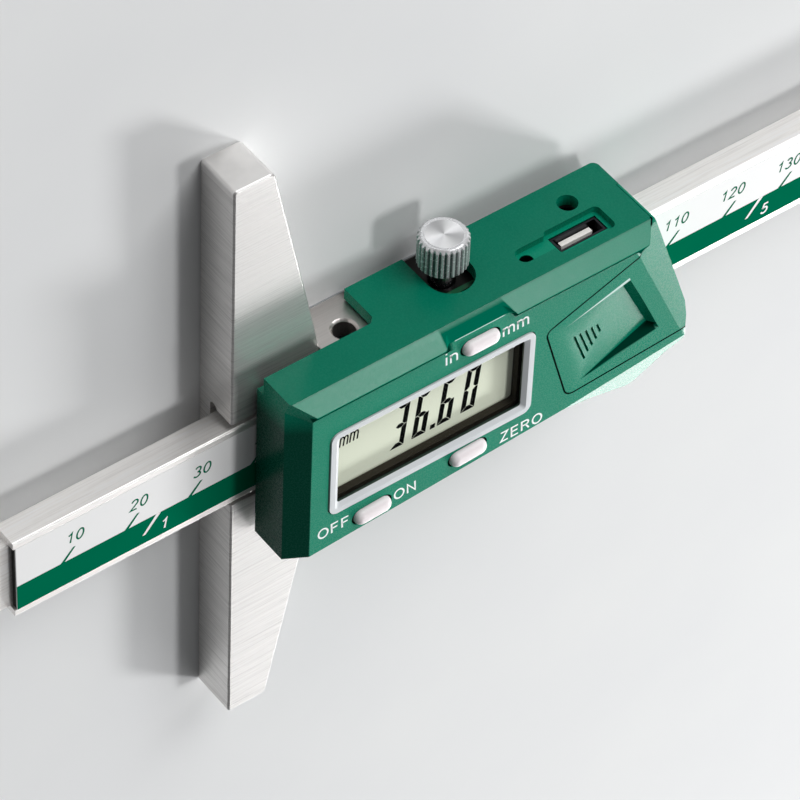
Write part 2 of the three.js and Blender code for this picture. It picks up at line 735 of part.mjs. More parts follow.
function makeOuterForm() {
  const body = prism('z', housingOutline, [housing.back, ridgeTop]);
  const far = [housing.left - overrun, rightEnd + overrun];
  const crest = topY - ridge.width;
  const level = prism('x', [
    [lobe[1] - overrun, faceZ], [crest - ridge.footRun, faceZ], [crest, ridgeTop],
    [crest, ridgeTop + overrun], [lobe[1] - overrun, ridgeTop + overrun]], far);
  const boundary = [[coverTop[0], topY + overrun], [coverTop[0], topY], coverBend];
  const rightLevel = prism('z', [
    ...boundary, [coverBend[0], coverBend[1] - overrun], [far[1], coverBend[1] - overrun],
    [far[1], topY + overrun]].reverse(), [faceZ, ridgeTop + overrun]);
  const bevelNormal = [0, ridge.proud + ridge.topDrop, ridge.width];
  const leftBevel = beyond([housing.left, 0, faceZ - housing.leftBevelDrop],
    [-housing.leftBevelDrop, 0, housing.leftBevelWidth]);
  const leftTip = new THREE.Vector3(housing.left, topY, faceZ - ridge.leftTipDrop);
  const leftCrest = new THREE.Vector3(housing.left + ridge.leftRun, crest, ridgeTop);
  const leftFoot = new THREE.Vector3(
    housing.left + housing.leftBevelWidth, topY - ridge.leftFoot, faceZ);
  const leftNormal = leftFoot.sub(leftTip).cross(leftCrest.sub(leftTip)).toArray();
  const endFall = THREE.MathUtils.degToRad(ridge.endAngle);
  const ridgeEnd = beyond([coverBend[0], 0, faceZ], [Math.sin(endFall), 0, Math.cos(endFall)])
    .intersect(prism('z', [
      [coverBend[0] - ridge.width, topY + overrun], [coverBend[0] - ridge.width, coverBend[1]],
      coverBend, [coverTop[0], topY], [coverTop[0], topY + overrun]], [housing.back, ridgeTop + overrun]));
  const sideFacet = facetBeyond(coverHeel, coverBend, housing.sideFacetAngle);
  return cut(body,
    level,
    rightLevel,
    makeScoop(),
    beyond([0, topY, faceZ - ridge.topDrop], bevelNormal),
    leftBevel.intersect(beyond(leftTip.toArray(), leftNormal)),
    ridgeEnd,
    sideFacet,
    facetBeyond(lowerEdge[0], [rightEnd, topY * rightSideShares.facetY], housing.facetAngle));
}

const outerForm = makeOuterForm();

function lowered(solid, drop) {
  return solid.translate([0, 0, -drop]);
}

// The thumb recess is a ramp that deepens to the right, with drafted sides
const thumbCorners = thumbCornerShares.map(([along, up]) => [coverLeft + along * cover.length, topY * up]);

function thumbForm(grow, drop) {
  const [upperStart, upperEnd, lowerEnd, lowerStart] = thumbCorners;
  const count = thumbCorners.length;
  const centre = thumbCorners.reduce(([x, y], [a, b]) => [x + a / count, y + b / count], [0, 0]);
  const away = ([x, y], amount) => {
    const out = new THREE.Vector2(x - centre[0], y - centre[1]).normalize().multiplyScalar(amount);
    return [x + out.x, y + out.y];
  };
  const lidZ = faceZ + overrun - drop;
  const rim = (corner) => new THREE.Vector3(...away(corner, grow + thumb.draft * overrun), lidZ);
  const floorAt = (corner, depth) => new THREE.Vector3(
    ...away(corner, grow - thumb.draft * depth), faceZ - depth - drop);
  return toSolid(new ConvexGeometry([
    rim(upperStart), rim(upperEnd), rim(lowerEnd), rim(lowerStart),
    floorAt(upperStart, 0), floorAt(upperEnd, thumb.depth),
    floorAt(lowerEnd, thumb.depth), floorAt(lowerStart, 0)]));
}

// Ribs in a row across the recess, each shorter than the one before
function thumbRibs() {
  const lean = THREE.MathUtils.degToRad(thumb.ribAngle);
  const run = thumbCorners[1][0] - thumbCorners[0][0];
  return ribLengthShares.map((share, i) => {
    const reach = (thumb.ribLength * share) / 2;
    const along = new THREE.Vector2(Math.sin(lean), -Math.cos(lean));
    const across = new THREE.Vector2(Math.cos(lean), Math.sin(lean));
    const middle = new THREE.Vector2(coverLeft + thumb.ribStart + i * thumb.ribPitch,
      thumb.ribTop - i * thumb.ribStep).addScaledVector(along, reach);
    const corner = (end, side) => {
      const point = middle.clone().addScaledVector(along, end * reach)
        .addScaledVector(across, side * thumb.ribWidth / 2);
      return [point.x, point.y];
    };
    const depth = thumb.depth * ((middle.x - thumbCorners[0][0]) / run) + thumb.ribDepth;
    return prism('z', [corner(1, -1), corner(1, 1), corner(-1, 1), corner(-1, -1)],
      [faceZ - depth, faceZ + overrun]);
  });
}

// Housing shell

function stadium([x, y], length, width, turn) {
  const reach = (length - width) / 2;
  const points = [];
  [0, 1].forEach((end) => {
    for (let step = 0; step <= facets.screw / 2; step += 1) {
      const angle = Math.PI * (end + step / (facets.screw / 2)) - Math.PI / 2;
      const centre = end ? -reach : reach;
      points.push([centre + (width / 2) * Math.cos(angle), (width / 2) * Math.sin(angle)]);
    }
  });
  return points.map(([a, b]) => [
    x + a * Math.cos(turn) - b * Math.sin(turn), y + a * Math.sin(turn) + b * Math.cos(turn)]);
}

const lowerTurn = Math.atan2(housing.lowerRise, lowerEdge[0][0] - housing.left);
const lowerLine = (x) => bottomY + (x - housing.left) * Math.tan(lowerTurn);
const lowerButton = (x, rise) => ({ at: [x, lowerLine(x) + rise], turn: lowerTurn });
const buttonPlaces = {
  in_mm: { at: [bezelLeft + button.upperX, bezelHigh + button.upperY], turn: 0 },
  on_off: lowerButton(bezelLeft + button.powerX, button.powerY),
  zero: lowerButton(bezelLeft + button.zeroX, button.zeroY),
};

function bezelOutline(amount) {
  return rectangle([bezelLeft + amount, bezelRight - amount], [bezelLow + amount, bezelHigh - amount],
    Math.max(bezel.corner - amount, bezel.innerCorner));
}

function makeShell() {
  const through = [-overrun, ridgeTop + overrun];
  const cavity = lowered(outerForm, housing.faceWall)
    .intersect(prism('z', innerOutline, [housing.back - housing.faceWall - overrun, ceilingZ]))
    .add(prism('z', innerOutline, [housing.back - overrun, ceilingZ - scoop.fill]));
  const scoopX = [housing.left + scoop.start - scoop.margin,
    housing.left + scoop.start + scoop.length + scoop.margin];
  const fill = prism('x', [
    [innerTopY + overrun, ceilingZ - scoop.fill - overrun], [innerTopY + overrun, ceilingZ + overrun],
    [innerTopY - scoop.fill - overrun, ceilingZ + overrun]], scoopX);
  const bosses = bossPlaces.map(([x, y]) => rod(boss.radius,
    [x, y, boardTop], [x, y, ceilingZ + clearance.seat]));
  const bossBores = bossPlaces.map(([x, y]) => rod(boss.bore, [x, y, boardTop - overrun],
    [x, y, boardTop + boss.depth]));
  const hollow = cut(outerForm, cut(cavity, fill));
  const openZ = [cover.skirtFoot, ridgeTop + overrun];
  const shelf = lowered(outerForm, cover.thickness)
    .intersect(prism('z', inset(innerOutline, cover.gap), through));
  const seat = cut(prism('z', coverOutline(cover.gap), openZ), shelf);
  const access = prism('z', inset(coverOutline(0), cover.ledge), openZ);
  const windowHole = prism('z', bezelOutline(-clearance.seat), [lcdBottom, ridgeTop + overrun]);
  const buttonHoles = Object.values(buttonPlaces).map(({ at, turn }) => prism('z',
    stadium(at, button.length + 2 * clearance.seat, button.width + 2 * clearance.seat, turn),
    [ceilingZ - overrun, ridgeTop + overrun]));
  return cut(join(hollow, ...bosses), ...bossBores, seat, access, windowHole, ...buttonHoles, ...rimCuts(),
    ...topCuts());
}

// The shell's rear rim stops over the base, over the beam and, in the front corner, over the frame
function rimCuts() {
  const low = housing.back - overrun;
  const left = housing.left - overrun;
  const wide = [lobe[1] - overrun, topY + overrun];
  const baseEnd = base.middleWidth + clearance.rim;
  const notchTop = frameTop + clearance.casing;
  const chamfer = housing.notchChamfer;
  const overBase = block([left, baseEnd], wide, [low, frontZ + clearance.rim]);
  const tunnel = block([left, rightEnd + overrun],
    [-beamEdge - clearance.rim, beamEdge + clearance.rim], [low, frontZ + clearance.rim]);
  const notch = prism('y', [
    [low, left], [notchTop, left], [notchTop, housing.notchEnd - chamfer],
    [notchTop - chamfer, housing.notchEnd], [low, housing.notchEnd]],
    [upperOuter - overrun, topY + overrun]);
  const corner = housing.backCorner;
  const cornerX = rightTop - corner;
  const backZ = [housing.back - overrun, housing.back + corner];
  const backRound = rod(corner, [cornerX, wide[0] - overrun, backZ[1]],
    [cornerX, wide[1] + overrun, backZ[1]], facets.round);
  const backCorner = cut(block([cornerX, rightEnd + overrun], wide, backZ), backRound);
  return [overBase, tunnel, notch, backCorner];
}

// Openings in the upper side: clamp screw pocket, gib screw hole and the data port with its recess
function topCuts() {
  const through = [upperOuter - overrun, topY + overrun];
  const radius = clamp.pocketRadius;
  const pocketZ = screwZ + clamp.pocketRise;
  const pocket = join(
    block([clampX - radius, clampX + radius], through, [housing.back - overrun, pocketZ]),
    rod(radius, [clampX, through[0], pocketZ], [clampX, through[1], pocketZ], facets.round));
  const screwHole = rod(gibScrew.radius,
    [gibScrewX[1], through[0], screwZ], [gibScrewX[1], through[1], screwZ]);
  const portZ = [boardTop, boardTop + port.height];
  const seat = clearance.seat;
  const opening = block([portX - port.length / 2 - seat, portX + port.length / 2 + seat], through,
    [portZ[0] - seat, portZ[1] + seat]);
  const recessY = [topY - port.recess, topY + overrun];
  const recess = prism('y', rectangle([portZ[0] - port.recessBelow, portZ[1] + port.recessAbove],
    [portX - port.recessLeft, portX + port.recessRight], port.recessCorner), recessY);
  const tailZ = [portZ[0] - port.recessBelow + port.tailBelow, portZ[1] + port.recessAbove - port.tailAbove];
  const tail = prism('y', rectangle(tailZ, [portX - port.recessLeft - port.recessTail, portX],
    (tailZ[1] - tailZ[0]) / 2 - clearance.seat), recessY);
  const pegX = portX - port.pegFromCentre;
  const pegZ = (portZ[0] + portZ[1]) / 2;
  const peg = rod(port.pegHole, [pegX, recessY[0] - port.pegDepth, pegZ], [pegX, recessY[1], pegZ]);
  return [pocket, screwHole, opening, recess, tail, peg];
}

add('housing_shell', makeShell(), 'greenPlastic');
bossPlaces.forEach(([x, y], i) => {
  const length = boardTop + boss.depth - frame.floorStart - clearance.sliding;
  const screw = countersunkScrew([x, y, frame.floorStart], boss.screw, length);
  add(`housing_screw_${i + 1}`, screw, 'screwSteel');
});

// Battery cover

function makeCover() {
  const whole = outerForm.intersect(prism('z', coverOutline(0),
    [cover.skirtFoot + cover.gap, ridgeTop + overrun]));
  const recess = thumbForm(0, 0);
  const underside = lowered(outerForm, cover.thickness)
    .intersect(prism('z', inset(innerOutline, 0), [cover.skirtFoot - overrun, ridgeTop]))
    .add(prism('z', innerOutline, [cover.skirtFoot - overrun, ceilingZ]));
  const bulge = thumbForm(thumb.grow, cover.thickness);
  return cut(whole, cut(underside, bulge), recess, ...thumbRibs());
}

add('battery_cover', makeCover(), 'greenPlastic');

// Display

function makeBezel() {
  const ring = prism('z', bezelOutline(0), [lcdTop, bezelTop]);
  const pocket = prism('z', bezelOutline(bezel.wall), [lcdTop - overrun, paneTop]);
  const outer = bezelOutline(bezel.rimWidth);
  const view = bezelOutline(bezel.rimWidth + bezel.slopeWidth);
  const slope = toSolid(new ConvexGeometry([
    ...outer.map(([x, y]) => new THREE.Vector3(x, y, bezelTop)),
    ...outer.map(([x, y]) => new THREE.Vector3(x, y, bezelTop + overrun)),
    ...view.map(([x, y]) => new THREE.Vector3(x, y, bezelTop - bezel.slopeDrop))]));
  return cut(ring, pocket, slope, prism('z', view, [paneTop - overrun, bezelTop + overrun]));
}

const insideBezel = bezelOutline(bezel.wall + clearance.seat);
const viewOutline = bezelOutline(bezel.rimWidth + bezel.slopeWidth);

add('lcd_panel', prism('z', bezelOutline(lcd.inset), [lcdBottom, lcdTop]), 'displayGlass');
add('lcd_gasket', cut(prism('z', insideBezel, [lcdTop, paneBottom]),
  prism('z', viewOutline, [lcdTop - overrun, paneBottom + overrun])), 'blackRubber');
add('lcd_window', prism('z', insideBezel, [paneBottom, paneTop]), 'clearPlastic');
add('lcd_bezel', makeBezel(), 'silverPlastic');

['lower', 'upper'].forEach((name, i) => {
  const near = i ? bezelHigh - lcd.inset - zebra.inset - zebra.width : bezelLow + lcd.inset + zebra.inset;
  const middle = (bezelLeft + bezelRight) / 2;
  add(`zebra_strip_${name}`, block([middle - zebra.length / 2, middle + zebra.length / 2],
    [near, near + zebra.width], [boardTop, lcdBottom]), 'blackRubber');
});

// Circuit boards

const cellX = coverLeft + cell.x;
const cupOuter = cell.radius + cup.gap + cup.wall;

function makeMainBoard() {
  const room = clearance.casing;
  const lower = (x) => lowerLine(x) + housing.wall + board.margin;
  const start = housing.left + board.inset;
  const side = rightEnd - board.inset;
  const upper = innerTopY - room;
  const outline = [
    [start, lower(start)], [rearBossX + boss.radius, lower(rearBossX)],
    [side, lower(rearBossX) + board.margin], [side, 0],
    [rightTop - housing.wall - board.margin, upper], [start, upper]];
  const holes = bossPlaces.map(([x, y]) => rod(boss.screw + clearance.screw, [x, y, frameTop - overrun],
    [x, y, boardTop + overrun]));
  const cupHole = rod(cupOuter + clearance.seat, [cellX, cell.y, frameTop - overrun],
    [cellX, cell.y, boardTop + overrun], facets.round);
  return cut(prism('z', outline, [frameTop, boardTop]), ...holes, cupHole);
}

const sensorLow = frontZ + board.underside;
add('main_board', makeMainBoard(), 'circuitBoard');
add('sensor_board', block([frameStart + sensor.start, frameEnd - sensor.end], [-sensor.half, sensor.half],
  [sensorLow, sensorLow + sensor.thickness]), 'circuitBoard');
add('board_link', block([clampX - sensor.linkLength / 2, clampX + sensor.linkLength / 2],
  [-sensor.linkWidth / 2, sensor.linkWidth / 2], [sensorLow + sensor.thickness, frameTop]), 'blackRubber');

// Buttons and the domes they press

function makeButton({ at, turn }) {
  const flangeTop = ceilingZ - clearance.shim;
  const capLow = flangeTop - button.flangeThickness / 2;
  const cap = prism('z', stadium(at, button.length, button.width, turn),
    [capLow, faceZ + button.proud], button.edge);
  const flange = prism('z', stadium(at, button.length + 2 * button.flange, button.flangeWidth, turn),
    [flangeTop - button.flangeThickness, flangeTop]);
  const footLow = boardTop + dome.height + button.travel + clearance.shim;
  const foot = prism('z', stadium(at, button.foot, button.footWidth, turn),
    [footLow, capLow]);
  return join(cap, flange, foot);
}

function makeDome({ at: [x, y] }) {
  return block([x - dome.length / 2, x + dome.length / 2], [y - dome.width / 2, y + dome.width / 2],
    [boardTop, boardTop + dome.height]);
}

Object.entries(buttonPlaces).forEach(([name, place]) => {
  add(`button_${name}`, makeButton(place), 'whitePlastic');
  add(`switch_${name}`, makeDome(place), 'blackRubber');
});

// Battery, its cup and contacts

const cupLow = frontZ + cup.aboveScale;
const cupFloor = cupLow + cup.floor;
const cellLow = cupFloor + leaf.thickness + clearance.shim;
const atCell = (z) => [cellX, cell.y, z];

function makeCup() {
  const outer = rod(cupOuter, atCell(cupLow), atCell(cupLow + cup.height), facets.round);
  const flange = rod(cupOuter + cup.flange, atCell(boardTop), atCell(boardTop + cup.flangeThickness),
    facets.round);
  const bore = rod(cell.radius + cup.gap, atCell(cupFloor), atCell(cupLow + cup.height + overrun),
    facets.round);
  const slot = block([cellX - 2 * cupOuter, cellX + 2 * cupOuter],
    [cell.y - cup.slot / 2, cell.y + cup.slot / 2], [boardTop, cupLow + cup.height + overrun]);
  return cut(join(outer, flange), bore, slot);
}

function makeLowerContact() {
  const side = cellX + cell.radius + cup.gap;
  const ys = [cell.y - leaf.width / 2, cell.y + leaf.width / 2];
  const pad = block([cellX - cell.radius / 2, side - clearance.sliding / 2], ys,
    [cupFloor, cupFloor + leaf.thickness]);
  const riserX = side - clearance.sliding / 2 - leaf.sideThickness / 2;
  const riser = block([riserX, riserX + leaf.sideThickness / 2], ys, [cupFloor, boardTop + leaf.thickness]);
  const foot = block([riserX, cellX + cupOuter + leaf.foot], ys,
    [boardTop, boardTop + leaf.thickness]);
  return join(pad, riser, foot);
}

function makeSideContact() {
  const ys = [cell.y - leaf.width / 2, cell.y + leaf.width / 2];
  const near = cellX - cell.radius - clearance.shim;
  const spring = block([near - leaf.sideThickness, near], ys, [boardTop, boardTop + leaf.rise]);
  const foot = block([cellX - cupOuter - leaf.foot, near], ys, [boardTop, boardTop + leaf.thickness]);
  return join(spring, foot);
}

add('battery_cup', makeCup(), 'blackRubber');
add('battery', rod(cell.radius, atCell(cellLow), atCell(cellLow + cell.thickness), facets.round), 'cellSteel');
add('contact_lower', makeLowerContact(), 'brass');
add('contact_side', makeSideContact(), 'brass');

// Data port

function makePortShell() {
  const xs = [portX - port.length / 2, portX + port.length / 2];
  const ys = [topY - port.recess - clearance.shim - port.depth, topY - port.recess - clearance.shim];
  const zs = [boardTop, boardTop + port.height];
  const bore = block([xs[0] + port.wall, xs[1] - port.wall], [ys[0] + port.wall, ys[1] + overrun],
    [zs[0] + port.wall, zs[1] - port.wall]);
  return cut(block(xs, ys, zs), bore);
}

function makePortTongue() {
  const back = topY - port.recess - clearance.shim - port.depth + port.wall;
  const middle = boardTop + port.height / 2 - port.tongueRise;
  const half = port.tongueThickness / 2;
  return block([portX - port.tongueLength / 2, portX + port.tongueLength / 2],
    [back, back + port.tongueReach], [middle - half, middle + half]);
}

add('port_shell', makePortShell(), 'screwSteel');
add('port_tongue', makePortTongue(), 'whitePlastic');

export default group;
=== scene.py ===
import json
import math

import bmesh
import bpy
from mathutils import Matrix, Vector


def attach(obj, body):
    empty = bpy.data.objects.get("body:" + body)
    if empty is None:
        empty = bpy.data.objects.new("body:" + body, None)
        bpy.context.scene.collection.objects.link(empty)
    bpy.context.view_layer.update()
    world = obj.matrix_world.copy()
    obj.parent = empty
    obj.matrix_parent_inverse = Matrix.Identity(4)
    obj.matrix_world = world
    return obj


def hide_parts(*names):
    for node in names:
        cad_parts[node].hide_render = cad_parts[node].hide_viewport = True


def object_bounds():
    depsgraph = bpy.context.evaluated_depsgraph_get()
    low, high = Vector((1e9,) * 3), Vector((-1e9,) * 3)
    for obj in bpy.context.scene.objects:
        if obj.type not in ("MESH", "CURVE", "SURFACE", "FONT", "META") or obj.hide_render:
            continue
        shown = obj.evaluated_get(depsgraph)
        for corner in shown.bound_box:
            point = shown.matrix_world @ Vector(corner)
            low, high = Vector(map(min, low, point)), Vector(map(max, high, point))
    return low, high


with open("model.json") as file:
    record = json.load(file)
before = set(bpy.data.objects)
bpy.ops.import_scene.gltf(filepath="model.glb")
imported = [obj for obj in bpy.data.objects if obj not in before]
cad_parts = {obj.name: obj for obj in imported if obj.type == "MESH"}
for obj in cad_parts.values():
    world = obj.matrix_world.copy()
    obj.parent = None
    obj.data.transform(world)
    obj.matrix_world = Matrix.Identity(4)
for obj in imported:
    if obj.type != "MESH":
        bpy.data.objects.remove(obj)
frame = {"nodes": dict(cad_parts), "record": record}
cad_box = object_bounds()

MM = 0.001
ALONG, ACROSS, OUT = (1, 0, 0), (0, 1, 0), (0, 0, 1)
scene = bpy.context.scene
nodes = frame["nodes"]
body_of = {n: b for b, ns in frame["record"]["behaviour"]["bodies"].items() for n in ns}


def places(node, axis):
    """Every vertex place of a CAD node along one axis, in millimetres."""
    column = "XYZ".index(axis)
    return [(nodes[node].matrix_world @ v.co)[column] / MM for v in nodes[node].data.vertices]


def high(node, axis):
    return max(places(node, axis))


def low(node, axis):
    return min(places(node, axis))


# Levels and places of the gauge, in millimetres
BEZEL_PROUD = 0.2
BEZEL_SLOPE = 0.45
FLOOR = cad_box[0][2] / MM
LABEL = high("scale_label", "Z")
LCD = high("lcd_panel", "Z")
BEZEL_TOP = high("lcd_bezel", "Z")
FACE = BEZEL_TOP - BEZEL_PROUD
READING = -low("beam", "X")
KNOB_X = (low("clamp_knob", "X") + high("clamp_knob", "X")) / 2
KNOB_Z = (low("clamp_knob", "Z") + high("clamp_knob", "Z")) / 2
KNOB_END = high("clamp_knob", "Y")
INK = 0.012


# Node materials

def srgb(text):
    """The linear channels of a tone written as six hex digits."""
    channels = [int(text[i:i + 2], 16) / 255 for i in (0, 2, 4)]
    return tuple(c / 12.92 if c <= 0.04045 else ((c + 0.055) / 1.055) ** 2.4 for c in channels)


def shade(colour, amount):
    return tuple(min(1.0, c * amount) for c in colour)


class Mat:
    """A small helper that builds a procedural material."""

    def __init__(self, name):
        self.mat = bpy.data.materials.new(name)
        self.mat.use_nodes = True
        self.tree = self.mat.node_tree
        self.tree.nodes.clear()
        self.out = self.tree.nodes.new("ShaderNodeOutputMaterial")
        self.bsdf = self.tree.nodes.new("ShaderNodeBsdfPrincipled")
        self.link(self.bsdf, "BSDF", self.out, "Surface")
        self.coord = self.tree.nodes.new("ShaderNodeTexCoord")

    def link(self, a, out, b, inp):
        self.tree.links.new(a.outputs[out], b.inputs[inp])

    def set(self, **values):
        for key, value in values.items():
            self.bsdf.inputs[key.replace("_", " ")].default_value = value

    def mapping(self, scale, shift=(0, 0, 0)):
        node = self.tree.nodes.new("ShaderNodeMapping")
        node.inputs["Scale"].default_value = scale
        node.inputs["Location"].default_value = shift
        self.link(self.coord, "Object", node, "Vector")
        return node

    def noise(self, scale, stretch=(1, 1, 1), detail=3, rough=0.5):
        node = self.tree.nodes.new("ShaderNodeTexNoise")
        node.inputs["Scale"].default_value = scale
        node.inputs["Detail"].default_value = detail
        node.inputs["Roughness"].default_value = rough
        self.link(self.mapping(stretch), "Vector", node, "Vector")
        return node

    def ramp(self, source, out, stops):
        node = self.tree.nodes.new("ShaderNodeValToRGB")
        ramp = node.color_ramp
        while len(ramp.elements) < len(stops):
            ramp.elements.new(0.5)
        for element, (place, colour) in zip(ramp.elements, stops):
            element.position = place
            element.color = (*colour, 1)
        self.link(source, out, node, "Fac")
        return node

    def span(self, source, out, low_value, high_value, start=0.0, end=1.0):
        node = self.tree.nodes.new("ShaderNodeMapRange")
        node.inputs["From Min"].default_value = start
        node.inputs["From Max"].default_value = end
        node.inputs["To Min"].default_value = low_value
        node.inputs["To Max"].default_value = high_value
        self.link(source, out, node, "Value")
        return node

    def blend(self, first, second, share):
        """Mixes the factors of two noises."""
        node = self.tree.nodes.new("ShaderNodeMix")
        node.inputs[0].default_value = share
        self.link(first, "Fac", node, 2)
        self.link(second, "Fac", node, 3)
        return node

    def bump(self, source, out, distance, strength=1.0, below=None):
        node = self.tree.nodes.new("ShaderNodeBump")
        node.inputs["Strength"].default_value = strength
        node.inputs["Distance"].default_value = distance
        self.link(source, out, node, "Height")
        if below:
            self.link(below, "Normal", node, "Normal")
        return node

    def within(self, limits):
        """The share of a region, as the product of its limits.

        Each limit is a direction and the places along it where the share starts and is full.
        """
        product = None
        for way, start, end in limits:
            along = self.tree.nodes.new("ShaderNodeVectorMath")
            along.operation = "DOT_PRODUCT"
            along.inputs[1].default_value = way
            self.link(self.coord, "Object", along, 0)
            share = self.span(along, "Value", 0, 1, start * MM, end * MM)
            if product is None:
                product = share
                continue
            both = self.tree.nodes.new("ShaderNodeMath")
            both.operation = "MULTIPLY"
            self.link(product, 0, both, 0)
            self.link(share, 0, both, 1)
            product = both
        return product

    def colour(self, ramp, patches=()):
        """Colours the surface, mixed with or multiplied by another tone inside each patch."""
        source, out = ramp, "Color"
        for kind, tone, *limits in patches:
            mix = self.tree.nodes.new("ShaderNodeMix")
            mix.data_type = "RGBA"
            mix.blend_type = kind
            mix.inputs[7].default_value = (*srgb(tone), 1)
            self.link(self.within(limits), 0, mix, 0)
            self.link(source, out, mix, 6)
            source, out = mix, 2
        self.link(source, out, self.bsdf, "Base Color")


# Noise scales per metre, and depths in millimetres
LINE_SCALE, STREAK_SCALE, CLOUD_SCALE = 3600, 800, 60
LINE_STRETCH = 0.03
CLOUD_DEPTH, RING_DEPTH = 0.002, 0.002
NOISE_LOW, NOISE_HIGH = 0.3, 0.7
DRIFT_SCALE, SPOT_SCALE = 180, 2500
GROOVE_SOFT = 0.1


def brushed(name, tone, along, rough=(0.24, 0.42), depth=0.004, contrast=0.12, metal=1.0,
            patches=()):
    """Brushed metal whose lines run along the axes marked 1 and vary across those marked 0."""
    m = Mat(name)
    tint = srgb(tone)
    across = tuple(LINE_STRETCH if a else 1.0 for a in along)
    lines = m.noise(LINE_SCALE, across, detail=3, rough=0.65)
    streaks = m.noise(STREAK_SCALE, across, detail=2, rough=0.6)
    cloud = m.noise(CLOUD_SCALE, detail=2)
    mix = m.blend(lines, streaks, 0.3)
    tones = [(0.32, shade(tint, 1 - contrast * 1.6)), (0.5, tint),
             (0.68, shade(tint, 1 + contrast))]
    m.colour(m.ramp(mix, 0, tones), patches)
    m.link(m.span(mix, 0, rough[1], rough[0], NOISE_LOW, NOISE_HIGH), "Result", m.bsdf, "Roughness")
    fine = m.bump(mix, 0, depth * MM, 0.8)
    m.link(m.bump(cloud, "Fac", CLOUD_DEPTH * MM, 0.3, fine), "Normal", m.bsdf, "Normal")
    m.set(Metallic=metal)
    return m.mat


def moulded(name, tone, rough=0.42, grain=0.004, speckle=0.05, scale=7000, gloss=0.4, patches=(),
            dull=()):
    """Moulded plastic: a fine grain, slight colour drift and a soft gloss, but none where dull."""
    m = Mat(name)
    tint = srgb(tone)
    fine = m.noise(scale, detail=2, rough=0.6)
    drift = m.noise(DRIFT_SCALE)
    mix = m.blend(fine, drift, 0.5)
    tones = [(NOISE_LOW, shade(tint, 1 - speckle)), (NOISE_HIGH, shade(tint, 1 + speckle))]
    m.colour(m.ramp(mix, 0, tones), patches)
    rough_span = m.span(fine, "Fac", rough - 0.05, rough + 0.05, NOISE_LOW, NOISE_HIGH)
    m.link(rough_span, "Result", m.bsdf, "Roughness")
    m.link(m.bump(fine, "Fac", grain * MM, 0.6), "Normal", m.bsdf, "Normal")
    m.set(Specular_IOR_Level=gloss)
    if dull:
        most = m.within(dull[0])
        for limits in dull[1:]:
            either = m.tree.nodes.new("ShaderNodeMath")
            either.operation = "MAXIMUM"
            m.link(most, 0, either, 0)
            m.link(m.within(limits), 0, either, 1)
            most = either
        m.link(m.span(most, 0, gloss, 0), "Result", m.bsdf, "Specular IOR Level")
    return m.mat


def turned(name, tone, centre, rough=0.24, pitch=3500, contrast=0.12, metal=1.0, groove=None):
    """Lathe-turned metal: fine rings round an axis along Y, with painted shade in its rim's
    grooves.

    A groove is its bottom and rim radius, the tone of its painted shade and the level where it
    ends.
    """
    m = Mat(name)
    tint = srgb(tone)
    place = m.mapping((1, 1, 1), [-c * MM for c in centre])
    split = m.tree.nodes.new("ShaderNodeSeparateXYZ")
    m.link(place, "Vector", split, "Vector")
    flat = m.tree.nodes.new("ShaderNodeCombineXYZ")
    for key in "XZ":
        m.link(split, key, flat, key)
    radius = m.tree.nodes.new("ShaderNodeVectorMath")
    radius.operation = "LENGTH"
    m.link(flat, "Vector", radius, 0)
    rings = m.tree.nodes.new("ShaderNodeTexNoise")
    rings.noise_dimensions = "1D"
    rings.inputs["Scale"].default_value = pitch
    rings.inputs["Detail"].default_value = 2
    m.link(radius, "Value", rings, "W")
    spots = m.noise(SPOT_SCALE, detail=2)
    tones = m.ramp(rings, "Fac", [(NOISE_LOW, shade(tint, 1 - contrast)),
                                  (NOISE_HIGH, shade(tint, 1 + contrast / 2))])
    # Painted shade in the grooves, except a short way before the end
    if groove:
        bottom, rim, deep, end = groove
        depth = m.tree.nodes.new("ShaderNodeMath")
        depth.operation = "MAXIMUM"
        m.link(m.span(radius, "Value", 0, 1, bottom * MM, rim * MM), "Result", depth, 0)
        beyond = m.span(split, "Y", 0, 1, (end - GROOVE_SOFT) * MM, end * MM)
        m.link(beyond, "Result", depth, 1)
        mix = m.tree.nodes.new("ShaderNodeMix")
        mix.data_type = "RGBA"
        mix.inputs[6].default_value = (*srgb(deep), 1)
        m.link(depth, "Value", mix, 0)
        m.link(tones, "Color", mix, 7)
        m.link(mix, 2, m.bsdf, "Base Color")
    else:
        m.colour(tones)
    rough_span = m.span(spots, "Fac", rough - 0.04, rough + 0.06, NOISE_LOW, NOISE_HIGH)
    m.link(rough_span, "Result", m.bsdf, "Roughness")
    m.link(m.bump(rings, "Fac", RING_DEPTH * MM, 0.5), "Normal", m.bsdf, "Normal")
    m.set(Metallic=metal)
    return m


# Rays of painted sheen on the spun cap: a share of the turn, and how bright it is there
RAY_SHEEN = ((0.0, 1.0), (0.1, 1.26), (0.2, 0.66), (0.31, 0.5), (0.41, 1.26), (0.5, 1.05),
        (0.58, 0.85), (0.66, 0.5), (0.81, 1.26), (0.9, 1.05), (1.0, 1.0))


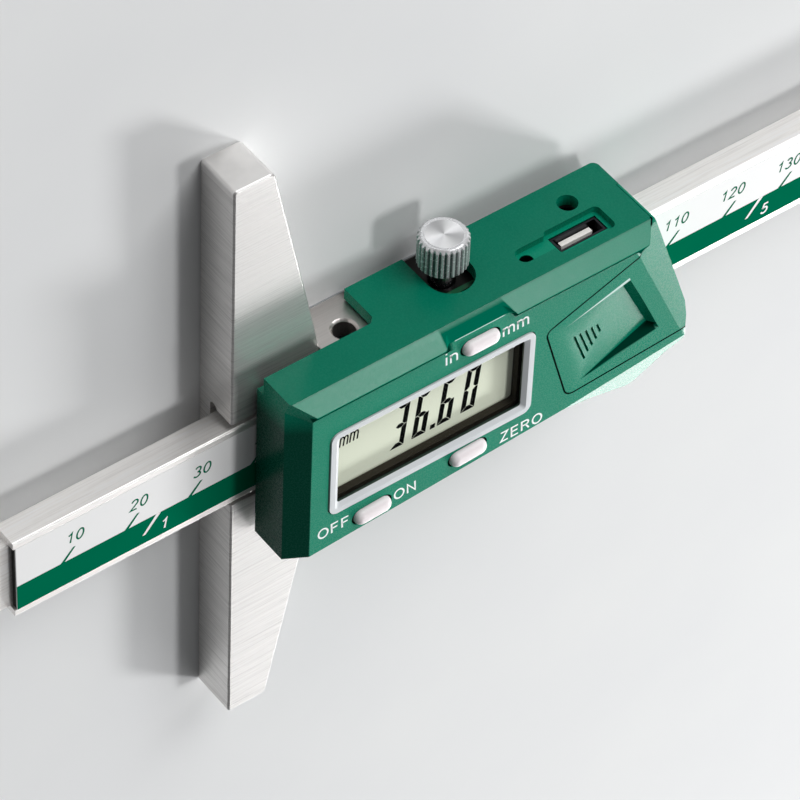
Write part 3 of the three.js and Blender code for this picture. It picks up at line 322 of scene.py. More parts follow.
def spun(name, tone, centre):
    """Turned metal with a sheen painted into its colour as rays from the middle."""
    m = turned(name, tone, centre, rough=0.36, pitch=2600, contrast=0.05, metal=0.35)
    place = m.mapping((1, 1, 1), [-c * MM for c in centre])
    split = m.tree.nodes.new("ShaderNodeSeparateXYZ")
    m.link(place, "Vector", split, "Vector")
    angle = m.tree.nodes.new("ShaderNodeMath")
    angle.operation = "ARCTAN2"
    m.link(split, "Z", angle, 0)
    m.link(split, "X", angle, 1)
    share = m.span(angle, "Value", 0, 1, -math.pi, math.pi)
    tint = srgb(tone)
    rays = m.ramp(share, "Result", [(turn, shade(tint, level)) for turn, level in RAY_SHEEN])
    rays.color_ramp.interpolation = "B_SPLINE"
    m.colour(rays)
    tangent = m.tree.nodes.new("ShaderNodeTangent")
    tangent.direction_type = "RADIAL"
    tangent.axis = "Y"
    m.link(tangent, "Tangent", m.bsdf, "Tangent")
    m.set(Anisotropic=0.95)
    return m.mat


def clear(name, tone, alpha):
    """A clear pane with a slight haze."""
    m = Mat(name)
    haze = m.noise(400, detail=2)
    tones = [(NOISE_LOW, srgb(tone)), (NOISE_HIGH, shade(srgb(tone), 0.98))]
    m.colour(m.ramp(haze, "Fac", tones))
    rough_span = m.span(haze, "Fac", 0.02, 0.06, NOISE_LOW, NOISE_HIGH)
    m.link(rough_span, "Result", m.bsdf, "Roughness")
    m.set(Alpha=alpha, IOR=1.45)
    return m.mat


# Meshes

# Turns between faces, in degrees
CORNER, ROUND_TURN = 32, 9
FACET_TURN = (3.5, 6.5)
FLAT_TURN, EVEN_TURN = 1.0, 0.5

# Distances that count as none, in millimetres
WELD, SPECK, NEAR = 0.002, 0.02, 0.01

ROUND_STEPS, FLAT_WEIGHT = 2, 100


def finish_mesh(obj, body, material):
    obj.data.materials.clear()
    obj.data.materials.append(material)
    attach(obj, body)
    return obj


def apply_modifiers(obj):
    bpy.context.view_layer.update()
    graph = bpy.context.evaluated_depsgraph_get()
    mesh = bpy.data.meshes.new_from_object(obj.evaluated_get(graph))
    old = obj.data
    obj.modifiers.clear()
    obj.data = mesh
    bpy.data.meshes.remove(old)


def shade_smooth(obj, angle):
    for polygon in obj.data.polygons:
        polygon.use_smooth = True
    obj.data.set_sharp_from_angle(angle=math.radians(angle))


def dress(node, material, width, smooth_in=None, crease=50, reshape=None):
    """Stands a copy of a CAD node with rounded edges in its place.

    Inside the box smooth_in only true corners are rounded, so that curved stretches stay even.
    With reshape the copy is cut along the ridge, and its points are moved before the rounding.
    """
    obj = bpy.data.objects.new(node + "_skin", nodes[node].data.copy())
    scene.collection.objects.link(obj)
    bm = bmesh.new()
    bm.from_mesh(obj.data)
    bmesh.ops.remove_doubles(bm, verts=bm.verts, dist=WELD * MM)
    bmesh.ops.dissolve_limit(bm, angle_limit=math.radians(FLAT_TURN), verts=bm.verts,
                             edges=bm.edges, delimit={"NORMAL"})
    if reshape:
        for y in (RIDGE_CREST, RIDGE_INNER):
            everything = bm.verts[:] + bm.edges[:] + bm.faces[:]
            bmesh.ops.bisect_plane(bm, geom=everything, dist=WELD / 2 * MM,
                                   plane_co=(0, y * MM, 0), plane_no=ACROSS)
        for vertex in bm.verts:
            vertex.co = reshape(vertex.co / MM) * MM
        bmesh.ops.dissolve_limit(bm, angle_limit=math.radians(EVEN_TURN), verts=bm.verts,
                                 edges=bm.edges)
        bmesh.ops.dissolve_degenerate(bm, dist=SPECK * MM, edges=bm.edges)
        bm.normal_update()
    weights = bm.edges.layers.float.new("bevel_weight_edge")
    for edge in bm.edges:
        spot = sum((v.co for v in edge.verts), Vector()) / 2 / MM
        inside = smooth_in and all(a <= c <= b for c, (a, b) in zip(spot, smooth_in))
        limit = CORNER if inside else ROUND_TURN
        turn = math.degrees(edge.calc_face_angle(0))
        along = abs(edge.verts[0].co.y - edge.verts[1].co.y) < NEAR * MM
        if reshape and along and abs(spot.y - RIDGE_INNER) < SPECK:
            continue
        edge[weights] = 1.0 if turn > limit or FACET_TURN[0] < turn < FACET_TURN[1] else 0.0
    bm.to_mesh(obj.data)
    bm.free()
    bevel = obj.modifiers.new("round", "BEVEL")
    bevel.width = width * MM
    bevel.segments = ROUND_STEPS
    bevel.limit_method = "WEIGHT"
    bevel.use_clamp_overlap = True
    apply_modifiers(obj)
    shade_smooth(obj, crease)
    weighted = obj.modifiers.new("flat_faces", "WEIGHTED_NORMAL")
    weighted.mode = "FACE_AREA"
    weighted.weight = FLAT_WEIGHT
    weighted.keep_sharp = True
    apply_modifiers(obj)
    finish_mesh(obj, body_of[node], material)
    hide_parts(node)


def mesh_piece(name, bm, body, material, smooth=0):
    mesh = bpy.data.meshes.new(name)
    bmesh.ops.recalc_face_normals(bm, faces=bm.faces)
    bm.to_mesh(mesh)
    bm.free()
    obj = bpy.data.objects.new(name, mesh)
    scene.collection.objects.link(obj)
    if smooth:
        shade_smooth(obj, smooth)
    return finish_mesh(obj, body, material)


def skin_between(bm, rings, closed):
    """Joins a run of vertex rings, and closes its ends unless the run comes back to its start."""
    joins = list(zip(rings, rings[1:] + rings[:1] if closed else rings[1:]))
    for first, second in joins:
        for i in range(len(first)):
            j = (i + 1) % len(first)
            bm.faces.new((first[i], first[j], second[j], second[i]))
    if not closed:
        bm.faces.new(rings[0])
        bm.faces.new(rings[-1][::-1])


def prism_into(bm, points, bottom, top):
    """Adds a closed prism over a polygon given in millimetres."""
    rings = [[bm.verts.new(Vector((x, y, z)) * MM) for x, y in points] for z in (bottom, top)]
    skin_between(bm, rings, False)


# Letters and digits, drawn by strokes in a box one high

SHARPEST = 0.45
LOOP_STEPS, ARC_STEPS = 28, 12


def arc(cx, cy, rx, ry, start, end, steps=ARC_STEPS):
    turns = [math.radians(start + (end - start) * i / steps) for i in range(steps + 1)]
    return [(cx + rx * math.cos(t), cy + ry * math.sin(t)) for t in turns]


def loop(cx, cy, rx, ry):
    return arc(cx, cy, rx, ry, 90, 450, LOOP_STEPS)


SIX = [loop(0.28, 0.31, 0.28, 0.31), arc(0.33, 0.4, 0.33, 0.6, 180, 50)]
GLYPHS = {
    "0": (0.56, [loop(0.28, 0.5, 0.28, 0.5)]),
    "1": (0.56, [[(0.08, 0.78), (0.24, 0.86), (0.36, 1.0), (0.36, 0.0)]]),
    "2": (0.56, [arc(0.28, 0.73, 0.26, 0.27, 170, -38) + [(0.0, 0.0), (0.56, 0.0)]]),
    "3": (0.56, [arc(0.27, 0.75, 0.24, 0.25, 155, -90), arc(0.27, 0.25, 0.28, 0.25, 90, -155)]),
    "4": (0.58, [[(0.43, 0.0), (0.43, 1.0), (0.0, 0.3), (0.58, 0.3)]]),
    "5": (0.56, [[(0.5, 1.0), (0.12, 1.0), (0.05, 0.5)], arc(0.27, 0.31, 0.29, 0.31, 140, -155)]),
    "6": (0.56, SIX),
    "7": (0.56, [[(0.0, 1.0), (0.56, 1.0), (0.2, 0.0)]]),
    "8": (0.56, [loop(0.28, 0.76, 0.23, 0.24), loop(0.28, 0.26, 0.28, 0.26)]),
    "9": (0.56, [[(0.56 - x, 1 - y) for x, y in line] for line in SIX]),
    "O": (0.86, [loop(0.43, 0.5, 0.43, 0.5)]),
    "F": (0.6, [[(0, 0), (0, 1), (0.6, 1)], [(0, 0.53), (0.52, 0.53)]]),
    "N": (0.7, [[(0, 0), (0, 1), (0.7, 0), (0.7, 1)]]),
    "Z": (0.68, [[(0.02, 1), (0.66, 1), (0, 0), (0.68, 0)]]),
    "E": (0.62, [[(0.62, 1), (0, 1), (0, 0), (0.62, 0)], [(0, 0.52), (0.57, 0.52)]]),
    "R": (0.68, [[(0, 0), (0, 1), (0.38, 1)] + arc(0.4, 0.765, 0.24, 0.235, 80, -80)
                 + [(0.38, 0.53), (0, 0.53)], [(0.38, 0.53), (0.68, 0)]]),
    "i": (0.06, [[(0.03, 0), (0.03, 0.72)], [(0.03, 0.95), (0.03, 1.06)]]),
    "n": (0.48, [[(0, 0), (0, 0.76)], arc(0.24, 0.46, 0.24, 0.26, 180, 0) + [(0.48, 0)]]),
    "m": (0.8, [[(0, 0), (0, 0.76)], arc(0.2, 0.48, 0.2, 0.24, 180, 0) + [(0.4, 0)],
                arc(0.6, 0.48, 0.2, 0.24, 180, 0) + [(0.8, 0)]]),
}


def stroke_into(bm, points, width, bottom, top):
    """Adds a closed ribbon of even width along a line of points, with mitred corners."""
    closed = math.dist(points[0], points[-1]) < WELD
    line = [Vector(p) for p in (points[:-1] if closed else points)]
    last = len(line) - 1
    rings = []
    for i, point in enumerate(line):
        arrive = (point - line[i - 1]).normalized() if closed or i > 0 else None
        leave = (line[(i + 1) % len(line)] - point).normalized() if closed or i < last else arrive
        arrive = leave if arrive is None else arrive
        middle = (arrive + leave).normalized()
        side = Vector((-middle.y, middle.x)) * width / 2 / max(SHARPEST, middle.dot(leave))
        left, right = point + side, point - side
        corners = ((left, bottom), (right, bottom), (right, top), (left, top))
        rings.append([bm.verts.new(Vector((p.x, p.y, z)) * MM) for p, z in corners])
    skin_between(bm, rings, closed)


def write(name, text, at, level, height, material, body, weight, gap=0.34, align=0.5,
          slant=0.0, stretch=1.0):
    """Printed characters: thin flat strokes on a surface that faces up.

    The place is the share align along their width, at half their height.
    """
    unit = height - weight
    step = gap + weight
    wide = sum(GLYPHS[c][0] * unit * stretch for c in text) + step * (len(text) - 1)
    cursor = -align * wide
    bm = bmesh.new()
    for character in text:
        width, lines = GLYPHS[character]
        for line in lines:
            points = []
            for u, v in line:
                rise = (v - 0.5) * unit
                points.append((at[0] + cursor + u * unit * stretch + slant * rise, at[1] + rise))
            stroke_into(bm, points, weight, level, level + INK)
        cursor += width * unit * stretch + step
    mesh_piece(name, bm, body, material)


# Materials

# Painted shade on the frame's steel where it runs under the housing
FRAME_SHADE_UNDER_HOUSING = (ALONG, 21.4, 22.6)
base_steel = brushed("base_brushed_steel", "e4e2e0", (1, 0, 1), rough=(0.3, 0.48), contrast=0.16,
                     depth=0.005, metal=0.75)
beam_steel = brushed("beam_brushed_steel", "fbf8f5", ALONG, rough=(0.28, 0.46), contrast=0.1,
                     metal=0.7)
frame_steel = brushed("frame_satin_steel", "cfc9c6", ALONG, rough=(0.3, 0.42), contrast=0.05,
                      patches=[("MULTIPLY", "3a3a3a", FRAME_SHADE_UNDER_HOUSING)])
stop_brass = brushed("stop_brass", "c9a24e", ACROSS, rough=(0.3, 0.44), contrast=0.08)
gib_brass = brushed("gib_brass", "cfa958", ALONG, rough=(0.3, 0.44), contrast=0.08)
contact_brass = brushed("contact_brass", "d2b068", ALONG, rough=(0.24, 0.36), contrast=0.05)
plate_metal = brushed("back_plate_satin", "b4b7b9", ALONG, rough=(0.34, 0.48), contrast=0.05)
cell_metal = brushed("cell_nickel", "d4d6d8", (1, 1, 0), rough=(0.16, 0.26), contrast=0.04)
# Painted shade: the port's shell is coloured dark for the shade inside its opening
port_metal = brushed("port_metal_in_shade", "34363a", ALONG, rough=(0.26, 0.4), contrast=0.08)

# Corners of the thumb recess, as shares of the cover's length and the housing's upper edge

TOP_EDGE = high("housing_shell", "Y")
COVER_GAP, COVER_LONG = 2, 25.05
COVER_LEFT = high("lcd_bezel", "X") + COVER_GAP
THUMB_SHARES = ((0.092, 0.257), (0.561, 0.443), (0.8, -0.323), (0.262, -0.46))
THUMB = [(COVER_LEFT + along * COVER_LONG, up * TOP_EDGE) for along, up in THUMB_SHARES]


def beside(place, right, up):
    return place[0] + right, place[1] + up


# Far corners of the painted highlight on the recess's upper edge and of the painted shade on its
# lower wall
THUMB_LIGHT = beside(THUMB[1], -0.14, 0.53)
THUMB_SHADE = beside(THUMB[2], -0.22, 1.28)


def left_of(start, end, soft=0.1):
    """A limit that keeps what lies left of the line from one point to another."""
    run, rise = end[0] - start[0], end[1] - start[1]
    size = math.hypot(run, rise)
    way = (-rise / size, run / size, 0)
    place = way[0] * start[0] + way[1] * start[1]
    return way, place - soft / 2, place + soft / 2


# Patches of painted shade and painted highlight: how a tone is mixed in, the tone, and the limits
# of its region

SCOOP_LEFT, SCOOP_RIGHT = (1, 0.2, 0), (1, 0.65, 0)
SCOOP_SIDES = ((ACROSS, 13.62, 13.7), (SCOOP_LEFT, 30.5, 30.8), (SCOOP_RIGHT, 48.4, 48.2),
               (OUT, 13.8, 14.3))
# Painted shade that darkens the scoop between the ridge ends to the upper side's tone
SCOOP_PAINTED_SHADE = ("MULTIPLY", "cdcdcd", *SCOOP_SIDES)
# A painted highlight along the scoop's front edge
SCOOP_PAINTED_HIGHLIGHT = ("MIX", "c4e2da", (ACROSS, 13.52, 13.57), (ACROSS, 13.74, 13.69), (OUT, 14.5, 14.55),
              (ALONG, 29.6, 29.8), (ALONG, 38.2, 37.6))
# Painted shade on the left ridge's end wall by the scoop
SCOOP_END_SHADE = ("MULTIPLY", "9c9c9c", (ACROSS, 11.9, 12.1), (ACROSS, 13.76, 13.7),
             (SCOOP_LEFT, 30.4, 30.6), (SCOOP_LEFT, 32.1, 31.8), (OUT, 14.6, 14.64))
# A painted highlight along the thumb recess's upper edge, broader to the right
THUMB_PAINTED_HIGHLIGHT = ("MIX", "cfe9e2", left_of(THUMB[0], THUMB[1]), left_of(THUMB_LIGHT, THUMB[0]),
              (ALONG, 48, 52), left_of(THUMB[1], beside(THUMB[1], -1, 3)))
# Painted shade on the lower wall of the thumb recess
THUMB_WALL_SHADE = ("MULTIPLY", "6c6c6c", left_of(THUMB[3], THUMB[2]), left_of(THUMB_SHADE, THUMB[3]),
              (ALONG, 52, 53), (ALONG, 65.1, 64.9))
ABOVE_FACE = (OUT, FACE + 0.03, FACE + 0.1)
# Painted shade on the ridge's inner slope under its crest
RIDGE_SLOPE_SHADE = ("MULTIPLY", "8a8a8a", ABOVE_FACE, (ACROSS, 13.5, 13.42))
RIDGE_LINE = (ABOVE_FACE, (ACROSS, 13.62, 13.54))
# Painted shade on the lower part of the housing's left end
LEFT_END_SHADE = ("MULTIPLY", "8a8a8a", (ALONG, 6.95, 6.7), (ACROSS, 14.5, 10))
# Painted shade that darkens the housing's upper side
UPPER_SIDE_SHADE = ("MULTIPLY", "dadada", (ACROSS, 16.4, 16.65))
# Painted shade on the walls inside the holes and port opening near the cover
HOLE_SHADE = ("MULTIPLY", "303030", (ACROSS, 15.65, 15.5), (OUT, 12.9, 12.6), (OUT, 6.8, 7.1),
         (ALONG, 43, 44), (ALONG, 68, 67))
INSIDE_TOP = BEZEL_TOP - BEZEL_SLOPE
# Painted shade on the bezel's inner wall down into the display
BEZEL_INSIDE_SHADE = ("MULTIPLY", "34463d", (OUT, INSIDE_TOP - 0.02, INSIDE_TOP - 0.06))
LCD_SHADE = ("MULTIPLY", "c4ccbe", (ACROSS, -6.4, -7.2))

# Plastics, panes and turned metals

green_shell = {"tone": "008467", "rough": 0.27, "grain": 0.0006, "scale": 5000, "gloss": 0.13}
green = moulded("housing_green", **green_shell,
                patches=[SCOOP_PAINTED_SHADE, SCOOP_PAINTED_HIGHLIGHT, SCOOP_END_SHADE, RIDGE_SLOPE_SHADE, LEFT_END_SHADE, UPPER_SIDE_SHADE,
                         HOLE_SHADE],
                dull=[SCOOP_SIDES, SCOOP_END_SHADE[2:], RIDGE_LINE])
cover_green = moulded("cover_green", **green_shell, patches=[THUMB_PAINTED_HIGHLIGHT, THUMB_WALL_SHADE],
                      dull=[THUMB_WALL_SHADE[2:]])
silver = moulded("bezel_silver", "d2d6d9", rough=0.36, grain=0.002, speckle=0.02, gloss=0.3,
                 patches=[BEZEL_INSIDE_SHADE])
white_key = moulded("key_white", "f6eef0", rough=0.46, speckle=0.015, gloss=0.3)
dark_seal = moulded("seal_dark", "2a251c", rough=0.62, grain=0.006, speckle=0.12, gloss=0.2)
black_plastic = moulded("cup_black", "191b1d", rough=0.5, speckle=0.1)
tongue_white = moulded("tongue_white", "f4f1ec", rough=0.4, speckle=0.02)
board_green = moulded("board_green", "0d5535", rough=0.36, speckle=0.18, scale=4200)
scale_black = moulded("scale_board_black", "1b1c1a", rough=0.55, speckle=0.1)
printed = {"rough": 0.5, "grain": 0.001, "speckle": 0.01}
label_white = moulded("label_white", "ebebeb", gloss=0.2, **printed)
print_green = moulded("print_green", "006a4c", rough=0.9, grain=0.001, speckle=0.03, gloss=0.0)
print_white = moulded("print_white", "ebebeb", gloss=0.2, **printed)
word_white = moulded("word_white", "f2f6f5", gloss=0.2, **printed)
digit_black = moulded("digit_black", "060707", rough=0.6, grain=0.001, speckle=0.1, gloss=0.0)
lcd_face = moulded("lcd_face", "f8ffe8", gloss=0.1, patches=[LCD_SHADE], **printed)
# Near black, for the painted shade in the gaps round the cover and the keys
gap_shade_black = moulded("gap_shade_black", "050807", rough=0.9, speckle=0.1, gloss=0.0)
pane = clear("pane_clear", "161a18", 0.04)
ORIGIN, KNOB_CENTRE = (0, 0, 0), (KNOB_X, 0, KNOB_Z)
GROOVE_BOTTOM, GROOVE_RIM, GROOVE_SHORT = 3.2, 3.5, 0.6
screw_metal = turned("screw_metal", "a9abb0", ORIGIN, rough=0.3).mat
stem_metal = turned("stem_metal", "c6c8cc", KNOB_CENTRE).mat
# The knob's flute grooves get painted shade, except a short way at its end
knob_metal = turned("knob_metal", "e8e8ea", KNOB_CENTRE, metal=0.45,
                    groove=(GROOVE_BOTTOM, GROOVE_RIM, "3c3e42", KNOB_END - GROOVE_SHORT)).mat
cap_metal = spun("cap_metal", "e6e6e8", KNOB_CENTRE)
# Near black, as painted shade on the screws down in their holes
screw_in_shade = turned("screw_in_shade", "16181a", ORIGIN, rough=0.4, pitch=900, contrast=0.6).mat

# Skins over the CAD nodes, and new finishes on the rest

RIDGE_PROUD = high("housing_shell", "Z") - FACE
RIDGE_WIDE, RIDGE_DROP, RIDGE_FOOT, RIDGE_FALL = 3.2, 0.7, 1.4, 25
RIDGE_LONG, RIDGE_REACH, RIDGE_NEAR = 15.41, 2, 0.04
RIDGE_END = COVER_LEFT + RIDGE_LONG
RIDGE_CREST = TOP_EDGE - RIDGE_WIDE
RIDGE_INNER = RIDGE_CREST - RIDGE_FOOT


def straight_ridge(place):
    """Carries the ridge on at its full height up to the cover's joint."""
    fallen = FACE - math.tan(math.radians(RIDGE_FALL)) * (place.x - RIDGE_END)
    behind = TOP_EDGE - place.y
    aside = place.x < RIDGE_END - RIDGE_REACH or place.y < RIDGE_INNER - NEAR
    if aside or abs(place.z - fallen) > RIDGE_NEAR:
        return place
    outer = FACE - RIDGE_DROP + behind * (RIDGE_PROUD + RIDGE_DROP) / RIDGE_WIDE
    inner = FACE + (RIDGE_WIDE + RIDGE_FOOT - behind) * RIDGE_PROUD / RIDGE_FOOT
    return Vector((place.x, place.y, max(place.z, min(outer, inner))))


dress("depth_base", base_steel, 0.12)
dress("beam", beam_steel, 0.06)
dress("slider_frame", frame_steel, 0.15)
dress("end_stop", stop_brass, 0.25)
SCOOP_BOX = ((26.5, 39.0), (11.5, 16.5), (7.0, 14.5))
dress("housing_shell", green, 0.13, smooth_in=SCOOP_BOX, crease=28, reshape=straight_ridge)
dress("battery_cover", cover_green, 0.1, crease=34)
dress("lcd_bezel", silver, 0.08)
dress("clamp_knob", knob_metal, 0.07)

finishes = {
    screw_in_shade: ["base_screw_1", "base_screw_2", "gib_screw_front", "gib_screw_rear"],
    screw_metal: ["housing_screw_1", "housing_screw_2", "housing_screw_3", "housing_screw_4",
                  "end_stop_screw_1", "end_stop_screw_2"],
    dark_seal: ["lcd_gasket", "zebra_strip_lower", "zebra_strip_upper", "switch_in_mm",
                "switch_on_off", "switch_zero"],
    board_green: ["main_board", "sensor_board"],
    black_plastic: ["board_link", "battery_cup"],
    contact_brass: ["contact_lower", "contact_side"],
    scale_black: ["scale_board"],
    label_white: ["scale_label"],
    gib_brass: ["gib_strip"],
    plate_metal: ["back_plate"],
    stem_metal: ["clamp_stem"],
    lcd_face: ["lcd_panel"],
    pane: ["lcd_window"],
    cell_metal: ["battery"],
    port_metal: ["port_shell"],
    tongue_white: ["port_tongue"],
}
for material, names in finishes.items():
    for name in names:
        mesh = nodes[name].data
        mesh.materials.clear()
        mesh.materials.append(material)

# Painted shade: a dark bead in the gap round the battery cover

JOINT_WIDE, JOINT_UNDER, JOINT_DEEP, JOINT_SUNK, PLATE = 0.24, 0.03, 0.3, -0.008, 0.6
OUTER_END, OUTER_SIDE, FACING_UP, UPRIGHT = 0.3, 0.95, 0.9, 0.3


def cover_joint():
    """A dark bead that paints the shade in the gap along the cover's edges that lie inside the
    housing's outline.
    """
    source = bmesh.new()
    source.from_mesh(nodes["battery_cover"].data)
    bmesh.ops.remove_doubles(source, verts=source.verts, dist=WELD * MM)
    source.normal_update()
    bead = bmesh.new()
    for edge in source.edges:
        if len(edge.link_faces) != 2:
            continue
        top, wall = sorted(edge.link_faces, key=lambda f: -f.normal.z)
        a, b = (v.co.copy() for v in edge.verts)
        level = (a.z + b.z) / 2
        reach = level - min(v.co.z for v in wall.verts)
        outer = wall.normal.x > OUTER_END or wall.normal.y > OUTER_SIDE
        corner = top.normal.z >= FACING_UP and abs(wall.normal.z) <= UPRIGHT
        if outer or not corner or reach < PLATE * MM:
            continue
        way = Vector((wall.normal.x, wall.normal.y, 0)).normalized() * MM
        under, out = -JOINT_UNDER * way, JOINT_WIDE * way
        corners = ((under, JOINT_SUNK), (out, JOINT_SUNK), (out, JOINT_DEEP), (under, JOINT_DEEP))
        rings = [[bead.verts.new(spot + side - Vector((0, 0, drop * MM)))
                  for side, drop in corners] for spot in (a, b)]
        skin_between(bead, rings, False)
    source.free()
    mesh_piece("cover_joint", bead, "cover", gap_shade_black)


cover_joint()

# Keys with soft pillow tops, and painted shade in the gaps round them

KEY_HOLE, KEY_SIZE, KEY_TURN = (6.56, 2.76), (6.0, 2.5), 3.13
PILLOW_IN, PILLOW_UP, PILLOW_STEPS = 1.0, 0.95, 9
GAP_SUNK, GAP_ROOM = 0.1, 0.04
SHOULDER, FLANGE_SIZE, FLANGE_THICK, FOOT_SIZE = 1.75, (7.9, 2.1), 0.6, (3, 2)


def stadium(centre, size, turn):
    """The outline of a slot with round ends."""
    length, width = size
    ends = []
    for side, start in ((1, -90), (-1, 90)):
        ends += arc(side * (length - width) / 2, 0, width / 2, width / 2, start, start + 180)
    c, s = math.cos(math.radians(turn)), math.sin(math.radians(turn))
    return [beside(centre, x * c - y * s, x * s + y * c) for x, y in ends]


def stack(name, centre, turn, levels, body, material, closed=False, smooth=0):
    """A closed form through slot outlines, each with a size and a level."""
    bm = bmesh.new()
    rings = [[bm.verts.new(Vector((x, y, z)) * MM) for x, y in stadium(centre, size, turn)]
             for size, z in levels]
    skin_between(bm, rings, closed)
    return mesh_piece(name, bm, body, material, smooth=smooth)


def key_piece(node, turn):
    """A key with its foot, flange and pillow top, and a dark ring of painted shade in the gap round
    it.
    """
    centre = [(low(node, axis) + high(node, axis)) / 2 for axis in "XY"]
    foot, top = low(node, "Z"), high(node, "Z")
    flange = FACE - SHOULDER
    under = flange - FLANGE_THICK
    levels = [(FOOT_SIZE, foot), (FOOT_SIZE, under), (FLANGE_SIZE, under), (FLANGE_SIZE, flange),
              (KEY_SIZE, flange)]
    for i in range(PILLOW_STEPS + 1):
        angle = math.pi / 2 * i / PILLOW_STEPS
        inset = 2 * PILLOW_IN * (1 - math.cos(angle))
        size = [side - inset for side in KEY_SIZE]
        levels.append((size, top - PILLOW_UP * (1 - math.sin(angle))))
    key = stack(node + "_skin", centre, turn, levels, body_of[node], white_key,
                smooth=50)
    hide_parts(node)
    # A dark ring of painted shade in the gap round the key
    inner = [side + GAP_ROOM for side in KEY_SIZE]
    level = FACE - GAP_SUNK
    ring = [(KEY_HOLE, level), (KEY_HOLE, level - INK), (inner, level - INK), (inner, level)]
    stack("gap_" + node, centre, turn, ring, "gauge", gap_shade_black, closed=True)


key_piece("button_in_mm", 0)
key_piece("button_on_off", KEY_TURN)
key_piece("button_zero", KEY_TURN)

# Printed scale on the beam

BORDER = -1.45
MM_STEP, MM_LAST = 10, 210
INCH, INCH_LAST = 25.4, 8
NUMBER_HEIGHT, NUMBER_LEAN = 2.05, 0.2
MM_MARK = {"run": 1.85, "rise": 2.1, "foot": 0.62, "tip": 0.4}
INCH_MARK = {"run": -2.35, "rise": -2.9, "foot": 0.75, "tip": 0.5}
MM_RIGHT, MM_UP, INCH_BACK, INCH_RIGHT, INCH_DOWN = 3.3, 2.6, 0.35, 0.6, -4.1


def on_label(name, bm, material):
    mesh_piece(name, bm, "sliding_beam", material)


def slash_into(bm, x, level, run, rise, foot, tip):
    """A slanted stroke from the band's border with level ends, broader at its foot."""
    far = (x + run, BORDER + rise)
    prism_into(bm, [(x - foot / 2, BORDER), (x + foot / 2, BORDER), beside(far, tip / 2, 0),
                    beside(far, -tip / 2, 0)], level, level + INK)


label_left, label_right = low("scale_label", "X"), high("scale_label", "X")
label_low = low("scale_label", "Y")
band = bmesh.new()
prism_into(band, [(label_left, label_low), (label_right, label_low), (label_right, BORDER),
                  (label_left, BORDER)], LABEL, LABEL + INK)
on_label("scale_green_band", band, print_green)

ticks = bmesh.new()
for value in range(MM_STEP, MM_LAST + 1, MM_STEP):
    x = value - READING
    slash_into(ticks, x, LABEL, **MM_MARK)
    write(f"scale_mm_{value}", str(value), (x + MM_RIGHT, MM_UP), LABEL, NUMBER_HEIGHT,
          print_green, "sliding_beam", weight=0.27, gap=0.27, align=1.0,
          slant=NUMBER_LEAN)
on_label("scale_mm_ticks", ticks, print_green)

inch_ticks = bmesh.new()
for value in range(1, INCH_LAST + 1):
    x = value * INCH - READING
    slash_into(inch_ticks, x - INCH_BACK, LABEL + INK, **INCH_MARK)
    write(f"scale_inch_{value}", str(value), (x + INCH_RIGHT, INCH_DOWN), LABEL + INK,
          NUMBER_HEIGHT, print_white, "sliding_beam", weight=0.3, slant=NUMBER_LEAN)
on_label("scale_inch_ticks", inch_ticks, print_white)

# Words on the housing

CAPITALS_HEIGHT, SMALL_HEIGHT = 2.05, 2.45
words = {"in": (29.3, 10.75), "mm": (39.95, 10.5), "OFF": (10.75, -11.1), "ON": (22.55, -11.25),
         "ZERO": (42.15, -11.0)}
for text, place in words.items():
    height = CAPITALS_HEIGHT if text.isupper() else SMALL_HEIGHT
    write("word_" + text.lower(), text, place, FACE, height, word_white, "gauge",
          weight=0.28, gap=0.36, slant=-0.06)

# Digits on the display

DIGIT_W, DIGIT_H, BAR, LEAN, SPLIT = 2.3, 8.1, 0.82, 0.115, 0.05
DIGIT_Y = -4.9
DIGITS = (("3", 21.5), ("6", 25.15), ("6", 29.35), ("0", 33.3))
POINT_X, UNIT_PLACE, UNIT_HEIGHT = 28.2, (14.7, 2.3), 2.7
SEGMENTS = {"0": "abcdef", "3": "abcdg", "6": "acdefg"}


def segment(code):
    """The outline of one bar of a seven-bar digit."""
    w, h, t, g = DIGIT_W, DIGIT_H, BAR, SPLIT
    mid = h / 2
    return {
        "a": [(g, h), (w - g, h), (w - t - g, h - t), (t + g, h - t)],
        "d": [(g, 0), (t + g, t), (w - t - g, t), (w - g, 0)],
        "g": [(g + t / 2, mid), (t + g, mid + t / 2), (w - t - g, mid + t / 2),
              (w - g - t / 2, mid), (w - t - g, mid - t / 2), (t + g, mid - t / 2)],
        "f": [(0, h - g), (0, mid + g), (t / 2, mid + g), (t, mid + t / 2 + g), (t, h - t - g)],
        "e": [(0, g), (t, t + g), (t, mid - t / 2 - g), (t / 2, mid - g), (0, mid - g)],
        "b": [(w, h - g), (w - t, h - t - g), (w - t, mid + t / 2 + g), (w - t / 2, mid + g),
              (w, mid + g)],
        "c": [(w, g), (w, mid - g), (w - t / 2, mid - g), (w - t, mid - t / 2 - g), (w - t, t + g)],
    }[code]


def leaning(points, x):
    return [(x + a + LEAN * b, DIGIT_Y + b) for a, b in points]


digits = bmesh.new()
for digit, x in DIGITS:
    for code in SEGMENTS[digit]:
        prism_into(digits, leaning(segment(code), x), LCD, LCD + INK)
prism_into(digits, leaning([(0, 0), (BAR, 0), (BAR, BAR), (0, BAR)], POINT_X), LCD, LCD + INK)
mesh_piece("lcd_digits", digits, "gauge", digit_black)
write("lcd_unit", "mm", UNIT_PLACE, LCD, UNIT_HEIGHT, digit_black, "gauge", weight=0.25,
      gap=0.2, slant=LEAN, stretch=0.62)

# Thin spun disc on the knob's end, that carries the cap's painted sheen

CAP_RADIUS, CAP_SUNK, CAP_UNDER, CAP_SIDES = 2.62, 0.02, 0.1, 96


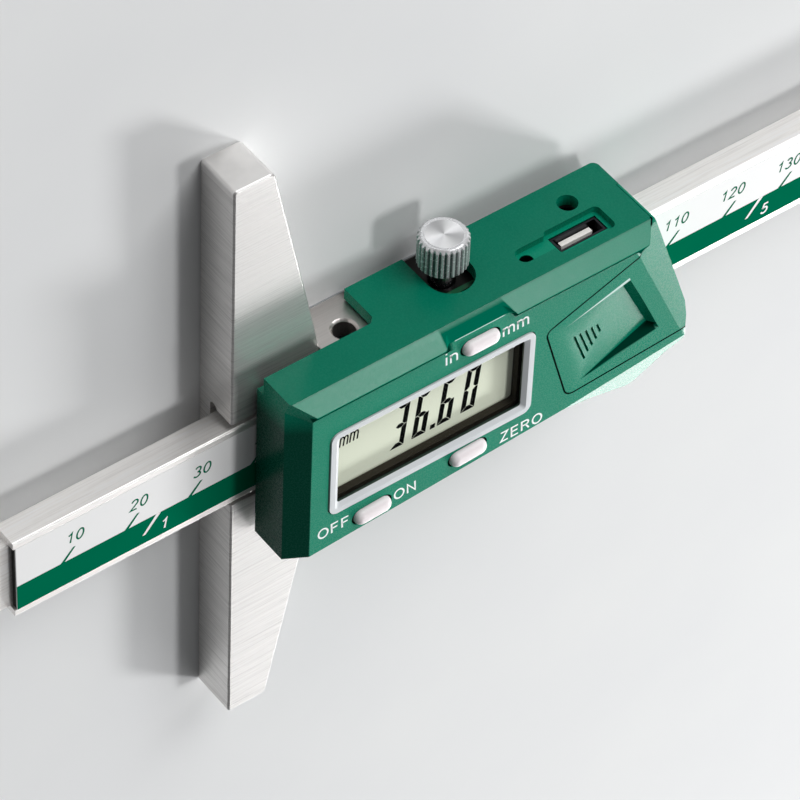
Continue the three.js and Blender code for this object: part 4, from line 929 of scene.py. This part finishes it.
def knob_cap():
    bm = bmesh.new()
    turns = [2 * math.pi * i / CAP_SIDES for i in range(CAP_SIDES)]
    rim = [(KNOB_X + CAP_RADIUS * math.cos(t), KNOB_Z + CAP_RADIUS * math.sin(t)) for t in turns]
    rings = [[bm.verts.new(Vector((x, KNOB_END - depth, z)) * MM) for x, z in rim]
             for depth in (CAP_UNDER, CAP_SUNK)]
    skin_between(bm, rings, False)
    mesh_piece("knob_cap", bm, "clamp_head", cap_metal, smooth=30)


knob_cap()

# Floor, light and camera

FLOOR_REACH = 6
floor_corners = [(x * FLOOR_REACH, y * FLOOR_REACH, FLOOR * MM)
                 for x, y in ((-1, -1), (1, -1), (1, 1), (-1, 1))]
floor_mesh = bpy.data.meshes.new("floor")
floor_mesh.from_pydata(floor_corners, [], [(0, 1, 2, 3)])
floor = bpy.data.objects.new("floor", floor_mesh)
scene.collection.objects.link(floor)
floor_mat = Mat("floor_pale")
floor_tones = [(NOISE_LOW, srgb("e0e1e2")), (NOISE_HIGH, srgb("e3e4e4"))]
floor_mat.colour(floor_mat.ramp(floor_mat.noise(30), "Fac", floor_tones))
floor_mat.set(Roughness=0.8, Specular_IOR_Level=0.15)
floor_mesh.materials.append(floor_mat.mat)

world = bpy.data.worlds.new("studio")
scene.world = world
world.use_nodes = True
backdrop = world.node_tree.nodes["Background"]
backdrop.inputs["Color"].default_value = (*srgb("eef0f2"), 1)
backdrop.inputs["Strength"].default_value = 0.12

SUBJECT = Vector((30, 0, 10)) * MM


def softbox(name, direction, distance, size, power):
    """A rectangular lamp that faces the gauge from a direction, sized in metres."""
    lamp = bpy.data.lights.new(name, "AREA")
    lamp.shape = "RECTANGLE"
    lamp.size, lamp.size_y = size
    lamp.energy = power
    obj = bpy.data.objects.new(name, lamp)
    scene.collection.objects.link(obj)
    offset = Vector(direction).normalized() * distance
    obj.location = SUBJECT + offset
    obj.rotation_euler = (-offset).to_track_quat("-Z", "Y").to_euler()


softbox("key", (0.75, -0.3, 0.6), 1.3, (0.5, 0.5), 0.8)
softbox("top", (0.42, -0.1, 0.9), 1.2, (0.2, 0.17), 4.2)
softbox("side", (0.7, -0.61, 0.41), 1.2, (0.18, 0.18), 8.8)
softbox("front", (0.5, -0.86, 0.13), 0.9, (0.5, 0.2), 3.2)
softbox("card", (0.42, -0.74, 0.53), 0.9, (0.4, 0.3), 0.2)
softbox("fill", (0.4, 0.85, 0.4), 1.1, (0.8, 0.5), 8.6)

SENSOR, LENS = 36, 228.7
CAMERA = {
    "right": Vector((0.80301878, 0.03226218, 0.59507982)),
    "up": Vector((0.42200786, 0.67427155, -0.60602578)),
    "back": Vector((-0.4207971, 0.73777844, 0.52783782)),
    "place": Vector((-258.98, 498.53, 365.815)) * MM,
}
camera_data = bpy.data.cameras.new("camera")
camera_data.sensor_width = SENSOR
camera_data.lens = LENS
camera_data.clip_start = 0.01
camera_data.clip_end = 20
camera = bpy.data.objects.new("camera", camera_data)
scene.collection.objects.link(camera)
matrix = Matrix.Identity(4)
for column, axis in enumerate(("right", "up", "back", "place")):
    for row in range(3):
        matrix[row][column] = CAMERA[axis][row]
camera.matrix_world = matrix
scene.camera = camera
scene.view_settings.view_transform = "Standard"
